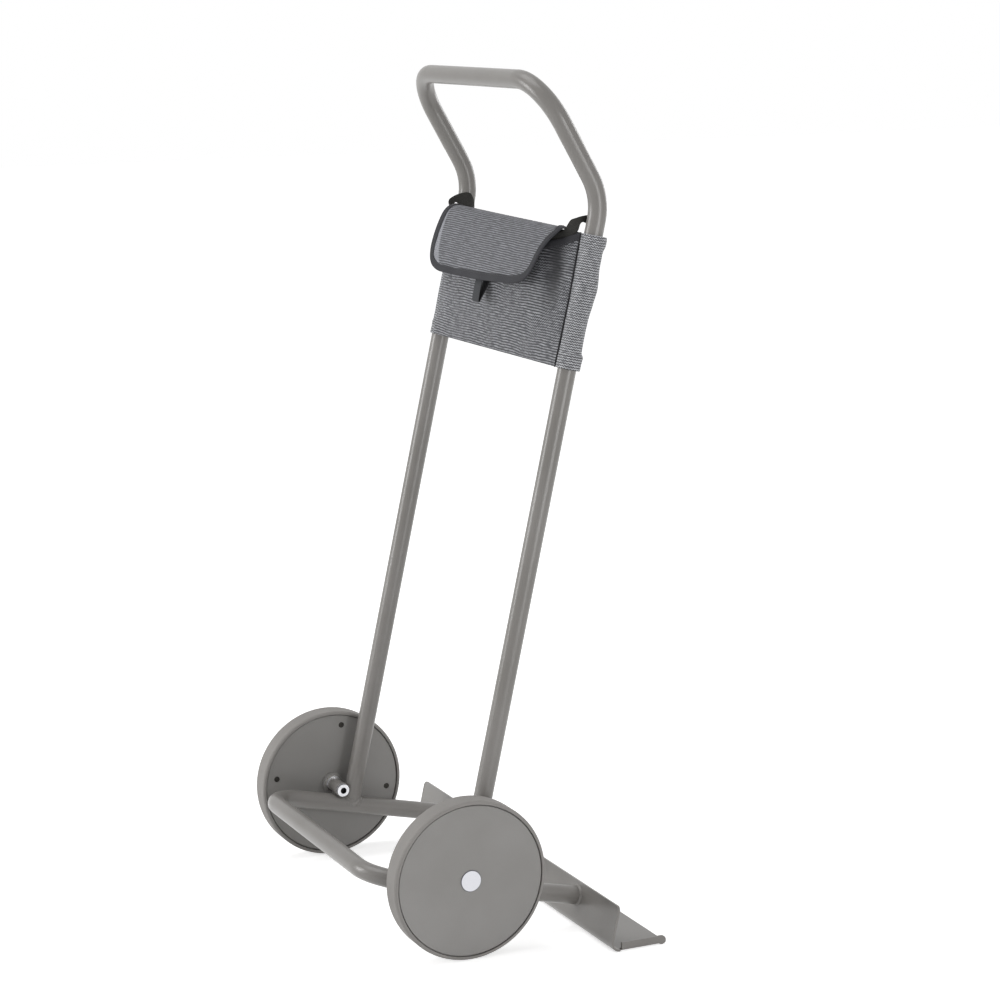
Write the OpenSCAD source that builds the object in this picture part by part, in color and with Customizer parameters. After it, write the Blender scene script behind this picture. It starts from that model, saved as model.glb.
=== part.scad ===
// Transport trolley: a bent-tube sack truck for stacked chairs, with a folded toe plate,
// two wheels on stub axles and a mesh-fabric bag hung between the uprights.
// X runs across the trolley, Y points forward to the toe plate, Z is up, and the floor is Z = 0.
// Pieces of the frame are drawn in a leaning frame of their own: Y along the side tubes,
// Z along the uprights, with its origin where an upright meets its side tube.

/* [Frame tube] */
// Outside diameter of the frame tube
tube_d = 25; // [22:0.5:30]
// Wall of the frame tube
tube_wall = 2; // [1.5:0.1:3]
// Distance between the centre lines of the two uprights
upright_gap = 414; // [380:1:480]
// Forward lean of the whole frame, in degrees
lean = 13; // [10:0.5:15]
// Size of the weld beads
bead = 2.4; // [2.2:0.2:4]

/* [Handle] */
// Straight length of the uprights, from the side tubes' centre lines up to the handle bend
upright_l = 894; // [780:1:1100]
// How far the handle arms lean back from the uprights, in degrees; at this value the bend's
// end and the arm meet exactly when their places are rounded
arm_angle = 42.3012; // [20:0.0001:70]
// Straight length of the handle arms
arm_l = 78; // [40:1:150]
// Bend radius between an upright and its handle arm
arm_bend_r = 80; // [50:1:100]
// Bend radius between a handle arm and the crossbar
bar_bend_r = 65; // [45:1:80]

/* [Base] */
// Side tube from the uprights back to the centre line of the rear bar
rear_reach = 133.5; // [110:0.5:170]
// Side tube from the uprights forward to the toe plate
front_reach = 168; // [150:1:220]
// Bend radius between a side tube and the rear bar
base_bend_r = 55; // [40:1:70]

/* [Toe plate] */
// Overall width of the toe plate
toe_w = 650; // [600:5:760]
// Sheet thickness of the toe plate
plate_t = 3; // [2:0.5:4]
// Outside radius of the bend at the heel
heel_r = 12; // [9:0.5:15]
// Length of the flat that lies on the floor, in front of the heel bend
toe_flat = 68.5; // [50:0.5:110]
// Height of the back flange above the side tube's centre line
flange_top = 19.5; // [17:0.5:30]
// Corner radius at the top of the back flange
flange_corner_r = 8; // [4:0.5:12]
// Height of the turned-up lips at the plate's two ends
lip_h = 12; // [9:0.5:20]
// Outside radius of the fold under a lip
lip_fold_r = 5; // [4:0.5:6]
// Corner radius at the front of a lip
lip_corner_r = 6; // [3:0.5:7]
// Flat strip between the heel bend and the relief slots
heel_flat = 1; // [0.5:0.5:3]
// Relief slot between the heel strip and a lip
lip_relief = 2; // [1:0.5:6]

/* [Axles] */
// Outside diameter of the welded axle sleeve
sleeve_d = 20; // [18:0.5:24]
// Shank diameter of the axle bolt
bolt_d = 12; // [10:0.5:12]
// Head diameter of the axle bolt
bolt_head_d = 18; // [16:0.5:20]
// Head height of the axle bolt
bolt_head_h = 7; // [5:0.5:10]
// Hexagon socket of the axle bolt, across flats
bolt_socket = 8; // [6:0.5:10]
// Clearance round the bolt in the sleeve and the washers
bolt_clear = 0.2; // [0.1:0.05:0.4]
// Radial running clearance of a wheel bush on its bolt
bush_clear = 0.05; // [0.02:0.01:0.1]
// Axial play at each end of a wheel hub
end_play = 0.3; // [0.2:0.05:0.6]
// Inner end of the sleeve, measured inwards from the upright's centre line
sleeve_inset = 11; // [8:0.5:14]
// Thickness of the thrust washer between sleeve and hub
thrust_t = 2; // [1:0.25:3]
// Diameter of the thrust washer
thrust_d = 24; // [22:0.5:27]
// Lock nut across flats
nut_af = 19; // [17:0.5:20]
// Height of the lock nut
nut_h = 9; // [7:0.5:9]
// Thickness of the washer under the nut
washer_t = 1.5; // [1:0.25:2]

/* [Wheels] */
// Wheel diameter over the tyre
wheel_d = 215; // [200:1:250]
// Width of the tyre
tyre_w = 32; // [32:0.5:40]
// Thickness of the tyre from its seat to the tread
tyre_t = 4.8; // [4.5:0.1:12]
// Edge radius of the tyre
tyre_edge_r = 4; // [1:0.25:4]
// Gap between an upright's centre line and the wheel's middle plane
wheel_offset = 42; // [40:0.5:50]
// Clear ring between the tyre's seat and a cover disc
cover_gap = 1.2; // [0.6:0.1:2]
// Thickness of the cover discs
cover_t = 3.5; // [2.5:0.25:4]
// Edge radius of the cover discs
cover_edge_r = 1; // [0.5:0.25:1.5]
// Depth of the outer cover below the side of the tyre
outer_recess = 1; // [0.5:0.1:3]
// Depth of the inner cover below the side of the tyre
inner_recess = 2; // [1:0.25:4]
// Diameter of the hub
hub_d = 32; // [30:0.5:44]
// How far the hub stands out of the inner cover
hub_proud = 4.5; // [1:0.25:5]
// Outside diameter of the wheel bush
bush_d = 17; // [16:0.5:20]
// Number of ribs in the wheel core
ribs = 8; // [4:1:12]
// Wall thickness of the wheel core's rim, ribs and web
core_wall = 3; // [2:0.25:4]
// Diameter of the hub cap
cap_d = 29; // [27:0.5:32]
// Screw circle diameter of the inner cover
screw_pcd = 174; // [165:1:174]
// Head diameter of the cover screws
screw_head_d = 8; // [5:0.1:8.5]
// Shank diameter of the cover screws
screw_d = 3.5; // [3:0.1:4]
// Length of the cover screws below their heads
screw_l = 11; // [8:0.5:12]
// Angle of the first cover screw
screw_turn = 79; // [0:1:90]

/* [Bag] */
// Height of the bag and of its sleeves
bag_h = 177; // [160:1:200]
// Drop of the bag's upper edge below the start of the handle bend
bag_drop = 19; // [19:1:200]
// Thickness of the mesh fabric
cloth_t = 1.2; // [0.8:0.1:1.5]
// Clearance of the fabric from a tube or from another moving piece
cloth_gap = 0.3; // [0.2:0.05:0.5]
// Slack of a bag sleeve round its upright
sleeve_slack = 2; // [1.8:0.1:2.5]
// Seam line of the bag, measured inwards from the upright's centre line
seam_inset = 7.5; // [6:0.5:9]
// Bulge of the front panel at the middle of the mouth
pocket_depth = 37; // [20:1:37]
// Dip of the mouth at its middle, below the sleeves
mouth_dip = 28; // [24:1:35]
// Diameter of the seam piping
piping_d = 3; // [2:0.1:4]
// Width of the edge binding
binding_w = 10; // [6:0.5:12]
// Extra thickness of the edge binding
binding_t = 0.5; // [0.3:0.1:0.6]

/* [Bag flap] */
// Width of the flap over its fold
flap_w = 369; // [340:1:371]
// Width of the flap along its hinge seam
flap_hinge_w = 332; // [300:1:338]
// Width of the flap at its lower edge, before the corners are rounded
flap_low_w = 312; // [260:1:330]
// Corner radius at the lower corners of the flap
flap_corner_r = 29; // [15:1:35]
// Height of the flap's lower edge above the bag's lower edge
flap_rise = 91; // [80:1:95]
// How far the flap's fold stands out behind its hinge seam
fold_out = 36; // [30:1:38]
// Drop of the flap's fold below the bag's upper edge
fold_drop = 8; // [5:0.5:12]
// How far the belly of the flap stands out behind its hinge seam
belly_out = 44; // [42:0.5:48]
// Drop of the flap's belly below the bag's upper edge
belly_drop = 60; // [50:1:70]
// Width of the pull tab
tab_w = 22; // [15:1:30]
// How far the middle of the pull tab sits to the right of the flap's middle
tab_x = 11; // [0:1:20]
// Length of the pull tab below the flap
tab_l = 31; // [24:1:40]
// Width of the hook-and-loop strips
fastener_w = 90; // [60:1:110]
// Height of the hook-and-loop strips
fastener_h = 20; // [16:1:22]
// Thickness of each hook-and-loop strip
fastener_t = 1.6; // [1:0.1:1.6]
// Width of the webbing used for the hanger straps
webbing_w = 14; // [12:0.5:15]
// Thickness of the webbing
webbing_t = 1.2; // [1:0.1:1.4]
// How high a hanger strap rises above the bag
strap_rise = 26; // [22:0.5:28]

/* [Hidden] */

$fn = 96;
eps = 0.01;
taupe = "#85807a";
wheel_grey = "#7f7c77";
mesh_grey = "#6e6f72";
binding_grey = "#3c3c3f";
webbing_black = "#2c2c2b";

tube_r = tube_d / 2;
upright_x = upright_gap / 2;
// The axle sleeve lies in the corner between side tube and upright, touching both
nest = (tube_d + sleeve_d) / 2;
wheel_r = wheel_d / 2;
// Height of the leaning frame's origin that sets the wheels on the floor
base_z = wheel_r - nest * (sin(lean) + cos(lean));
axle_y = nest * (sin(lean) - cos(lean));
// Centre of the heel bend, tangent to the floor and to the back flange
heel_y = (front_reach + heel_r + (heel_r - base_z) * sin(lean)) / cos(lean);
heel_steps = 18;
toe_front = heel_y + toe_flat;
lip_start = heel_y + heel_flat + lip_relief;
// The origin is the middle of the whole length, on the floor; the rear bar or the wheels end it
rear_end = min(axle_y - wheel_r, -rear_reach * cos(lean) - tube_r);
y_shift = (toe_front + rear_end) / 2;

tyre_seat_r = wheel_r - tyre_t;
cover_r = tyre_seat_r - cover_gap;
outer_z = tyre_w / 2 - outer_recess;
inner_z = -tyre_w / 2 + inner_recess;
core_z = outer_z - cover_t;
core_low = inner_z + cover_t;
hub_r = hub_d / 2;
hub_low = inner_z - hub_proud;
bush_r = bush_d / 2;
bush_flange_t = 1;
bush_low = hub_low - bush_flange_t;
cap_h = 1;
// The hub ends low enough to leave room for washer, nut and bolt end under the cap
hub_top = outer_z - nut_h - washer_t - end_play - 1.5;
nut_low = hub_top + end_play + washer_t;
bolt_end = nut_low + nut_h + 0.5;
wheel_x = upright_x + wheel_offset;
sleeve_x = upright_x - sleeve_inset;
sleeve_end = wheel_x + bush_low - end_play - thrust_t;
cap_hole_r = cap_d / 2 - 1.5;

// Places in the bag are given as [x, distance behind the uprights' centre line, height along them]
bag_top = upright_l - bag_drop;
bag_z = bag_top - bag_h;
sleeve_in_r = tube_r + cloth_gap + sleeve_slack;
sleeve_out_r = sleeve_in_r + cloth_t;
seam_x = upright_x - seam_inset;
// The back panel lies just inside the backs of the two sleeves, so that the two cross cleanly
tuck = 0.05;
back_out = tube_r + cloth_gap + cloth_t - tuck;
back_in = back_out - cloth_t;
mouth_z = bag_top - mouth_dip;
panel_cols = 24;
panel_rows = 10;
// Powers that shape the bulge across and up the front panel, and the dip of the mouth
bulge_across = 5;
bulge_up = 1.7;
dip_power = 5;
strap_cols = 4;
tape_half = cloth_t / 2 + binding_t;
hinge_back = back_out;
hinge_z = bag_top + cloth_gap + tape_half;
// Side view of the flap as [behind the uprights, height]
flap_start = [hinge_back, hinge_z];
flap_fold = [hinge_back + fold_out, bag_top - fold_drop];
flap_belly = [hinge_back + belly_out, bag_top - belly_drop];
flap_curve = (flap_belly[0] - flap_fold[0]) / pow(flap_fold[1] - flap_belly[1], 2);
flap_low = bag_z + flap_rise;
flap_taper = atan2((flap_w - flap_low_w) / 2, flap_fold[1] - flap_low);
flap_steps = 8;
fastener_z = mouth_z - binding_w - 3 - fastener_h;

module in_frame() {
    translate([0, -y_shift, base_z]) rotate([-lean, 0, 0]) children();
}

// A point of the bag: x across, back behind the uprights, up along them
function bag_point(x, back, up) = [x, -back, up];

module both_sides() {
    children();
    mirror([1, 0, 0]) children();
}

// Straight tube from a to b along Z, solid with the given radius
module rod(r, a, b) {
    translate([0, 0, a]) cylinder(r = r, h = b - a);
}

// Quarter or part bend: starts at [r, 0] pointing up and turns towards -X, in the XZ plane
module elbow(bend_r, r, angle) {
    rotate([90, 0, 0]) rotate_extrude(angle = angle) translate([bend_r, 0]) circle(r);
}

// Places what follows an arm bend in line with the bend's far end
module in_arm() {
    translate([0, -arm_bend_r, upright_l]) rotate([arm_angle, 0, 0])
        translate([0, arm_bend_r, 0]) children();
}

module handle_run(r) {
    both_sides() translate([upright_x, 0, 0]) {
        rod(r, bead, upright_l);
        translate([0, -arm_bend_r, upright_l])
            rotate([0, 0, 90]) elbow(arm_bend_r, r, arm_angle);
        in_arm() {
            rod(r, 0, arm_l);
            translate([-bar_bend_r, 0, arm_l]) elbow(bar_bend_r, r, 90);
        }
    }
    in_arm() translate([0, 0, arm_l + bar_bend_r]) rotate([0, 90, 0])
        rod(r, bar_bend_r - upright_x, upright_x - bar_bend_r);
}

// The uprights and the handle are one bent tube, coped to sit on the side tubes
module handle_tube() {
    color(taupe) in_frame() difference() {
        handle_run(tube_r);
        handle_run(tube_r - tube_wall);
        both_sides() translate([upright_x, 0, 0]) rotate([90, 0, 0])
            cylinder(r = tube_r, h = 4 * tube_d, center = true);
    }
}

module base_run(r) {
    both_sides() {
        translate([upright_x, 0, 0]) rotate([-90, 0, 0]) rod(r, base_bend_r - rear_reach, front_reach);
        translate([upright_x - base_bend_r, base_bend_r - rear_reach, 0])
            rotate([90, 0, 0]) elbow(base_bend_r, r, 90);
    }
    translate([0, -rear_reach, 0]) rotate([0, 90, 0])
        rod(r, base_bend_r - upright_x, upright_x - base_bend_r);
}

// Side tubes and rear bar are one tube bent into a U
module base_tube() {
    color(taupe) in_frame() difference() {
        base_run(tube_r);
        base_run(tube_r - tube_wall);
    }
}

// Points of an arc round the heel bend's centre
function heel_arc(r, from, to) = [for (k = [0 : heel_steps]) let (a = from + (to - from) * k / heel_steps)
    [heel_y + r * cos(a), heel_r + r * sin(a)]];

// Side view of the plate without its lips: a strip of floor flat, the heel bend and the flange
module heel_outline() {
    up = 180 - lean;
    tall = flange_top - (heel_r - base_z) * cos(lean) - heel_y * sin(lean);
    rear = [heel_y - heel_r * cos(lean), heel_r + heel_r * sin(lean)];
    top = rear + tall * [sin(lean), cos(lean)];
    polygon(concat(
        [[heel_y + heel_flat, 0]], heel_arc(heel_r, 270, up),
        [top, top + plate_t * [cos(lean), -sin(lean)]], heel_arc(heel_r - plate_t, up, 270),
        [[heel_y + heel_flat, plate_t]]
    ));
}

// What is cut off at an upper corner of the flange, drawn about the corner of the flange
module flange_corner() {
    difference() {
        translate([-flange_corner_r, -flange_corner_r]) square(2 * flange_corner_r);
        translate([-flange_corner_r, -flange_corner_r]) circle(flange_corner_r);
    }
}

// Side view of a lip: flat below, upper front corner rounded
module lip_outline() {
    low = lip_fold_r;
    r = lip_corner_r;
    translate([lip_start, low]) square([toe_front - lip_start, lip_h - r - low]);
    translate([lip_start, low]) square([toe_front - r - lip_start, lip_h - low]);
    translate([toe_front - r, lip_h - r]) circle(r);
}

// One folded sheet: back flange, heel bend, floor flat and a turned-up lip at each end
module toe_plate() {
    color(taupe) translate([0, -y_shift, 0]) {
        difference() {
            translate([-toe_w / 2, 0, 0]) rotate([90, 0, 90]) linear_extrude(toe_w) heel_outline();
            translate([0, 0, base_z]) rotate([-lean, 0, 0]) both_sides()
                translate([toe_w / 2, front_reach + 3 * plate_t, flange_top]) rotate([90, 0, 0])
                    linear_extrude(6 * plate_t) flange_corner();
        }
        translate([lip_fold_r - toe_w / 2, heel_y, 0])
            cube([toe_w - 2 * lip_fold_r, toe_flat, plate_t]);
        both_sides() {
            translate([toe_w / 2 - lip_fold_r, toe_front, lip_fold_r]) rotate([90, 0, 0])
                rotate([0, 0, -90]) rotate_extrude(angle = 90)
                    translate([lip_fold_r - plate_t, 0]) square([plate_t, toe_front - lip_start]);
            translate([toe_w / 2 - plate_t, 0, 0]) rotate([90, 0, 90])
                linear_extrude(plate_t) lip_outline();
        }
    }
}

// Saddle bead where each upright is welded onto its side tube
module upright_welds() {
    reach = tube_r + bead;
    color(taupe) in_frame() both_sides() translate([upright_x, 0, 0]) difference() {
        intersection() {
            rod(reach, 0, reach);
            rotate([90, 0, 0]) cylinder(r = reach, h = 2 * reach, center = true);
        }
        rod(tube_r, -reach, 2 * reach);
        rotate([90, 0, 0]) cylinder(r = tube_r, h = 3 * reach, center = true);
        translate([0, -nest, nest]) rotate([0, 90, 0])
            cylinder(d = sleeve_d, h = 4 * reach, center = true);
    }
}

// Fillet bead where each side tube butts against the back of the toe plate
module toe_welds() {
    color(taupe) in_frame() both_sides()
        translate([upright_x, front_reach, 0]) rotate([90, 0, 0]) difference() {
            cylinder(r1 = tube_r + bead, r2 = tube_r + 0.4, h = bead);
            rod(tube_r, -1, bead + 1);
        }
}

// Beads that hold the axle sleeve to the side tube below it and to the upright in front of it
module axle_welds() {
    reach = sleeve_d / 2 + bead - 0.5;
    color(taupe) in_frame() both_sides() translate([upright_x, 0, 0]) difference() {
        intersection() {
            translate([0, -nest, nest]) rotate([0, 90, 0])
                cylinder(r = reach, h = tube_d, center = true);
            union() {
                rotate([90, 0, 0]) rod(tube_r + bead, tube_r + bead, nest + sleeve_d / 2);
                rod(tube_r + bead, tube_r + bead, nest + sleeve_d / 2);
            }
        }
        translate([0, -nest, nest]) rotate([0, 90, 0])
            cylinder(d = sleeve_d, h = 2 * tube_d, center = true);
        rod(tube_r, -tube_r, 2 * nest);
        rotate([90, 0, 0]) cylinder(r = tube_r, h = 4 * nest, center = true);
    }
}

// Puts a piece drawn along Z, with Z = 0 at the upright plane's middle, onto the right axle
module on_right_axle() {
    translate([0, axle_y - y_shift, wheel_r]) rotate([90, 0, 90]) children();
}

module on_axle(side) {
    if (side == "right") on_right_axle() children();
    else mirror([1, 0, 0]) on_right_axle() children();
}

// Pieces of a wheel are drawn with Z = 0 in its middle plane, pointing outwards
module on_wheel(side) {
    on_axle(side) translate([0, 0, wheel_x]) children();
}

module axle_sleeve(side) {
    color(taupe) on_axle(side) difference() {
        rod(sleeve_d / 2, sleeve_x, sleeve_end);
        rod(bolt_d / 2 + bolt_clear, sleeve_x - 1, sleeve_end + 1);
    }
}

// Low-head socket screw, put in from the inside and held by the lock nut under the cap
module axle_bolt(side) {
    head_low = sleeve_x - bolt_head_h;
    chamfer = 0.6;
    color("silver") on_axle(side) difference() {
        union() {
            translate([0, 0, head_low])
                cylinder(r1 = bolt_head_d / 2 - chamfer, r2 = bolt_head_d / 2, h = chamfer);
            rod(bolt_head_d / 2, head_low + chamfer, sleeve_x);
            rod(bolt_d / 2, sleeve_x, wheel_x + bolt_end);
        }
        translate([0, 0, head_low - 1])
            cylinder(d = bolt_socket / cos(30), h = 0.6 * bolt_head_h + 1, $fn = 6);
    }
}

module flat_washer(side, d, low, high) {
    color("silver") on_axle(side) difference() {
        rod(d / 2, low, high);
        rod(bolt_d / 2 + bolt_clear, low - 1, high + 1);
    }
}

module lock_nut(side) {
    collar_h = 0.25 * nut_h;
    color("silver") on_wheel(side) difference() {
        union() {
            translate([0, 0, nut_low])
                cylinder(d = nut_af / cos(30), h = nut_h - collar_h, $fn = 6);
            rod(nut_af / 2 - 1, nut_low, nut_low + nut_h);
        }
        rod(bolt_d / 2, nut_low - 1, nut_low + nut_h + 1);
    }
}

module ring_section(r_in, r_out, low, high, edge) {
    translate([r_in, low]) square([r_out - edge - r_in, high - low]);
    translate([r_in, low + edge]) square([r_out - r_in, high - low - 2 * edge]);
    translate([r_out - edge, low + edge]) circle(edge);
    translate([r_out - edge, high - edge]) circle(edge);
}

// Solid tyre pressed onto the rim of the wheel core
module tyre(side) {
    color(wheel_grey) on_wheel(side) rotate_extrude() difference() {
        ring_section(tyre_seat_r, wheel_r, -tyre_w / 2, tyre_w / 2, tyre_edge_r);
        translate([0, -tyre_w]) square([tyre_seat_r, 2 * tyre_w]);
    }
}

// Moulded core: rim, web, ribs, screw posts and the hub that holds the bush
module wheel_core(side) {
    rim_in = tyre_seat_r - core_wall;
    post_r = screw_d / 2 + 2.4;
    mid = (core_z + core_low) / 2;
    color(wheel_grey) on_wheel(side) difference() {
        union() {
            rotate_extrude() {
                translate([rim_in, core_low]) square([core_wall, core_z - core_low]);
                translate([hub_r - 1, mid - core_wall / 2]) square([rim_in - hub_r + 2, core_wall]);
                translate([bush_r, hub_low]) square([hub_r - bush_r, hub_top - hub_low]);
            }
            for (k = [0 : ribs - 1]) rotate([0, 0, 360 * (k + 0.5) / ribs])
                translate([hub_r - 1, -core_wall / 2, core_low + 1])
                    cube([rim_in - hub_r + 2, core_wall, mid - core_low - 1]);
            for (k = [0 : 3]) rotate([0, 0, screw_turn + 90 * k])
                translate([screw_pcd / 2, 0, 0]) rod(post_r, core_low, mid);
        }
        for (k = [0 : 3]) rotate([0, 0, screw_turn + 90 * k])
            translate([screw_pcd / 2, 0, 0]) rod(screw_d / 2, core_low - 1, core_low + screw_l);
    }
}

// Flanged plastic bush pressed into the hub; it turns on the bolt
module bush(side) {
    color("ivory") on_wheel(side) difference() {
        union() {
            rod(bush_r, hub_low, hub_top);
            rod(thrust_d / 2, bush_low, hub_low);
        }
        rod(bolt_d / 2 + bush_clear, bush_low - 1, hub_top + 1);
    }
}

module outer_cover(side) {
    color(wheel_grey) on_wheel(side) difference() {
        rotate_extrude() difference() {
            ring_section(0, cover_r, core_z, outer_z, cover_edge_r);
            translate([-cover_r, core_z - 1]) square([cover_r, cover_t + 2]);
        }
        rod(cap_hole_r, core_z - 1, outer_z + 1);
    }
}

module inner_cover(side) {
    seat = inner_z + 1.2;
    color(wheel_grey) on_wheel(side) difference() {
        rotate_extrude() difference() {
            ring_section(0, cover_r, inner_z, core_low, cover_edge_r);
            translate([-cover_r, inner_z - 1]) square([cover_r, cover_t + 2]);
        }
        rod(hub_r, inner_z - 1, core_low + 1);
        for (k = [0 : 3]) rotate([0, 0, screw_turn + 90 * k]) translate([screw_pcd / 2, 0, 0]) {
            rod(screw_head_d / 2 + 0.3, inner_z - 1, seat);
            rod(screw_d / 2, inner_z - 1, core_low + 1);
        }
    }
}

// Four pan-head screws, sunk into the inner cover, with crossed driver slots
module cover_screws(side) {
    seat = inner_z + 1.2;
    head_low = inner_z + 0.2;
    slot = 0.9;
    color("#3a3936") on_wheel(side) for (k = [0 : 3])
        rotate([0, 0, screw_turn + 90 * k]) translate([screw_pcd / 2, 0, 0]) difference() {
            union() {
                rod(screw_head_d / 2, head_low, seat);
                rod(screw_d / 2, seat, seat + screw_l - 1);
            }
            for (turn = [0, 90]) rotate([0, 0, turn]) translate([0, 0, head_low])
                cube([0.6 * screw_head_d, slot, 1.2], center = true);
        }
}

// Silver cap that snaps into the outer cover and hides the nut
module hub_cap(side) {
    skirt_t = 1;
    color("silver") on_wheel(side) {
        rotate_extrude() difference() {
            ring_section(0, cap_d / 2, outer_z, outer_z + cap_h, 0.4);
            translate([-cap_d, outer_z - 1]) square([cap_d, cap_h + 2]);
        }
        difference() {
            rod(cap_hole_r, core_z, outer_z);
            rod(cap_hole_r - skirt_t, core_z - 1, outer_z);
        }
    }
}

// Closed skin between two grids of points with the same rows and columns
module grid_shell(outer, inner) {
    rows = len(outer);
    cols = len(outer[0]);
    count = rows * cols;
    points = concat([for (row = outer) each row], [for (row = inner) each row]);
    function at(i, j) = i * cols + j;
    skin = [for (i = [0 : rows - 2], j = [0 : cols - 2])
        each [[at(i, j), at(i, j + 1), at(i + 1, j + 1)], [at(i, j), at(i + 1, j + 1), at(i + 1, j)]]];
    lining = [for (f = skin) [f[2] + count, f[1] + count, f[0] + count]];
    edge = concat(
        [for (j = [0 : cols - 1]) at(0, j)],
        [for (i = [1 : rows - 1]) at(i, cols - 1)],
        [for (j = [cols - 2 : -1 : 0]) at(rows - 1, j)],
        [for (i = [rows - 2 : -1 : 1]) at(i, 0)]
    );
    last = len(edge);
    rim = [for (k = [0 : last - 1]) let (a = edge[k], b = edge[(k + 1) % last])
        each [[b, a, a + count], [b, a + count, b + count]]];
    polyhedron(points, concat(skin, lining, rim));
}

// A grid moved along its own normals
function lifted(grid, by) = let (rows = len(grid) - 1, cols = len(grid[0]) - 1)
    [for (i = [0 : rows]) [for (j = [0 : cols]) let (
        along = grid[min(i + 1, rows)][j] - grid[max(i - 1, 0)][j],
        aside = grid[i][min(j + 1, cols)] - grid[i][max(j - 1, 0)],
        n = cross(along, aside))
        grid[i][j] + n / norm(n) * by]];

// Sheet over a grid of points, between two distances from it
module sheet(grid, low, high) {
    grid_shell(lifted(grid, high), lifted(grid, low));
}

// Bulge of the front panel: full at the middle, none at the seams and the bottom
function across(x) = 1 - pow(abs(x) / seam_x, bulge_across);
function upward(z) = 1 - pow(max(0, 1 - (z - bag_z) / (mouth_z - bag_z)), bulge_up);
function front_in(x, z) = back_out + pocket_depth * across(x) * upward(z);
function mouth_at(x) = mouth_z + mouth_dip * pow(abs(x) / seam_x, dip_power);

// Grid over the front panel from its lower edge or from a line under the mouth, up to another
function panel_grid(under_low, under_high, raise) = [for (i = [0 : panel_rows])
    [for (j = [0 : panel_cols]) let (
        x = seam_x * sin(90 * (1 - 2 * j / panel_cols)),
        top = mouth_at(x) - under_high,
        low = under_low < 0 ? bag_z : mouth_at(x) - under_low,
        z = low + (top - low) * i / panel_rows)
        bag_point(x, front_in(x, z) + raise, z)]];

// Flat mesh panel between the two sleeves
module bag_back_panel() {
    color(mesh_grey) in_frame() translate([-seam_x, -back_out, bag_z])
        cube([2 * seam_x, cloth_t, bag_h - binding_w]);
}

// Bulging pocket panel, sewn to the back panel along the seams and the lower edge
module bag_front_panel() {
    color(mesh_grey) in_frame()
        grid_shell(panel_grid(-1, binding_w, cloth_t), panel_grid(-1, binding_w, 0));
}

// Tape folded over the mouth of the pocket
module mouth_binding() {
    color(binding_grey) in_frame()
        grid_shell(panel_grid(binding_w, 0, cloth_t + binding_t), panel_grid(binding_w, 0, 0));
}

// Tape folded over the upper edge of the back panel
module back_binding() {
    color(binding_grey) in_frame() translate([-seam_x, -back_out, bag_top - binding_w])
        cube([2 * seam_x, cloth_t + binding_t, binding_w]);
}

// Loose sleeve round an upright, drawn forward by its slack, with the strip that it is sewn on by
module bag_sleeve(side) {
    color(mesh_grey) in_frame() mirror([side == "left" ? 1 : 0, 0, 0]) {
        translate([upright_x, sleeve_slack, 0]) difference() {
            rod(sleeve_out_r, bag_z, bag_top);
            rod(sleeve_in_r, bag_z - 1, bag_top + 1);
        }
        translate([seam_x, -back_out, bag_z]) cube([seam_inset, cloth_t, bag_h]);
    }
}

// Dark piping along the two side seams
module seam_piping() {
    r = piping_d / 2;
    color(binding_grey) in_frame() both_sides()
        translate([seam_x + r, -back_out - r, 0]) rod(r, bag_z, bag_top);
}

// Row of a strap laid straight between two places
function flat_row(a, b) = [for (k = [0 : strap_cols]) a + (b - a) * k / strap_cols];

// Row of a strap laid round the upright: turn 0 faces the trolley's middle, 90 its front
function round_row(a, b) = let (r = tube_r + cloth_gap + webbing_t / 2)
    [for (k = [0 : strap_cols]) let (at = a + (b - a) * k / strap_cols)
        bag_point(upright_x - r * cos(at[0]), -r * sin(at[0]), at[1])];

// Row of a strap laid on the inside of the mouth's corner
function corner_row(z) = let (lie = 1.15 * webbing_t) flat_row(
    bag_point(seam_x - 11.5, front_in(seam_x - 11.5, mouth_z) - lie, z),
    bag_point(seam_x - 4.5, front_in(seam_x - 4.5, mouth_z) - lie, z)
);

// Webbing from the mouth's corner up, folded over towards the upright, round it, and into the
// sleeve's top
module hanger(side) {
    w = webbing_w;
    low = bag_top + strap_rise - w;
    in_corner = seam_x - 4.5;
    in_flap = in_corner - w / 2;
    near = back_out + webbing_t;
    rows = [
        corner_row(bag_top - 0.95 * w),
        corner_row(bag_top - 0.35 * w),
        flat_row(bag_point(in_flap, near + w, bag_top + 0.15 * w),
            bag_point(in_corner, near + 0.1 * w, bag_top + 0.1 * w)),
        flat_row(bag_point(in_flap + 1.5, near + w, low - 0.1 * w),
            bag_point(in_corner - 0.5, near, low - 0.2 * w)),
        flat_row(bag_point(in_flap + 4, near + 0.9 * w, low + 0.2 * w),
            bag_point(in_corner - 0.7, near - 0.1 * w, low - 0.1 * w)),
        flat_row(bag_point(in_flap + 5.5, near + 0.35 * w, low + 0.6 * w),
            bag_point(in_corner - 1, near - 0.3 * w, low - 0.1 * w)),
        round_row([-16, low + 0.85 * w], [-16, low - 0.1 * w]),
        round_row([4, low + w], [6, low]),
        round_row([24, low + 0.9 * w], [20, low - 0.1 * w]),
        round_row([46, low + 0.6 * w], [32, low - 0.3 * w]),
        round_row([69, low + 0.1 * w], [42, low - 0.8 * w]),
        round_row([92, low - 0.6 * w], [48, low - 1.35 * w]),
        round_row([105, bag_top - 0.35 * w], [50, bag_top - 0.35 * w]),
        round_row([106, bag_top - 1.15 * w], [50, bag_top - 1.15 * w])
    ];
    color(webbing_black) in_frame() mirror([side == "left" ? 1 : 0, 0, 0])
        sheet(rows, -webbing_t / 2, webbing_t / 2);
}

function bezier(a, b, c, d, t) =
    pow(1 - t, 3) * a + 3 * t * pow(1 - t, 2) * b + 3 * t * t * (1 - t) * c + pow(t, 3) * d;

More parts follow.
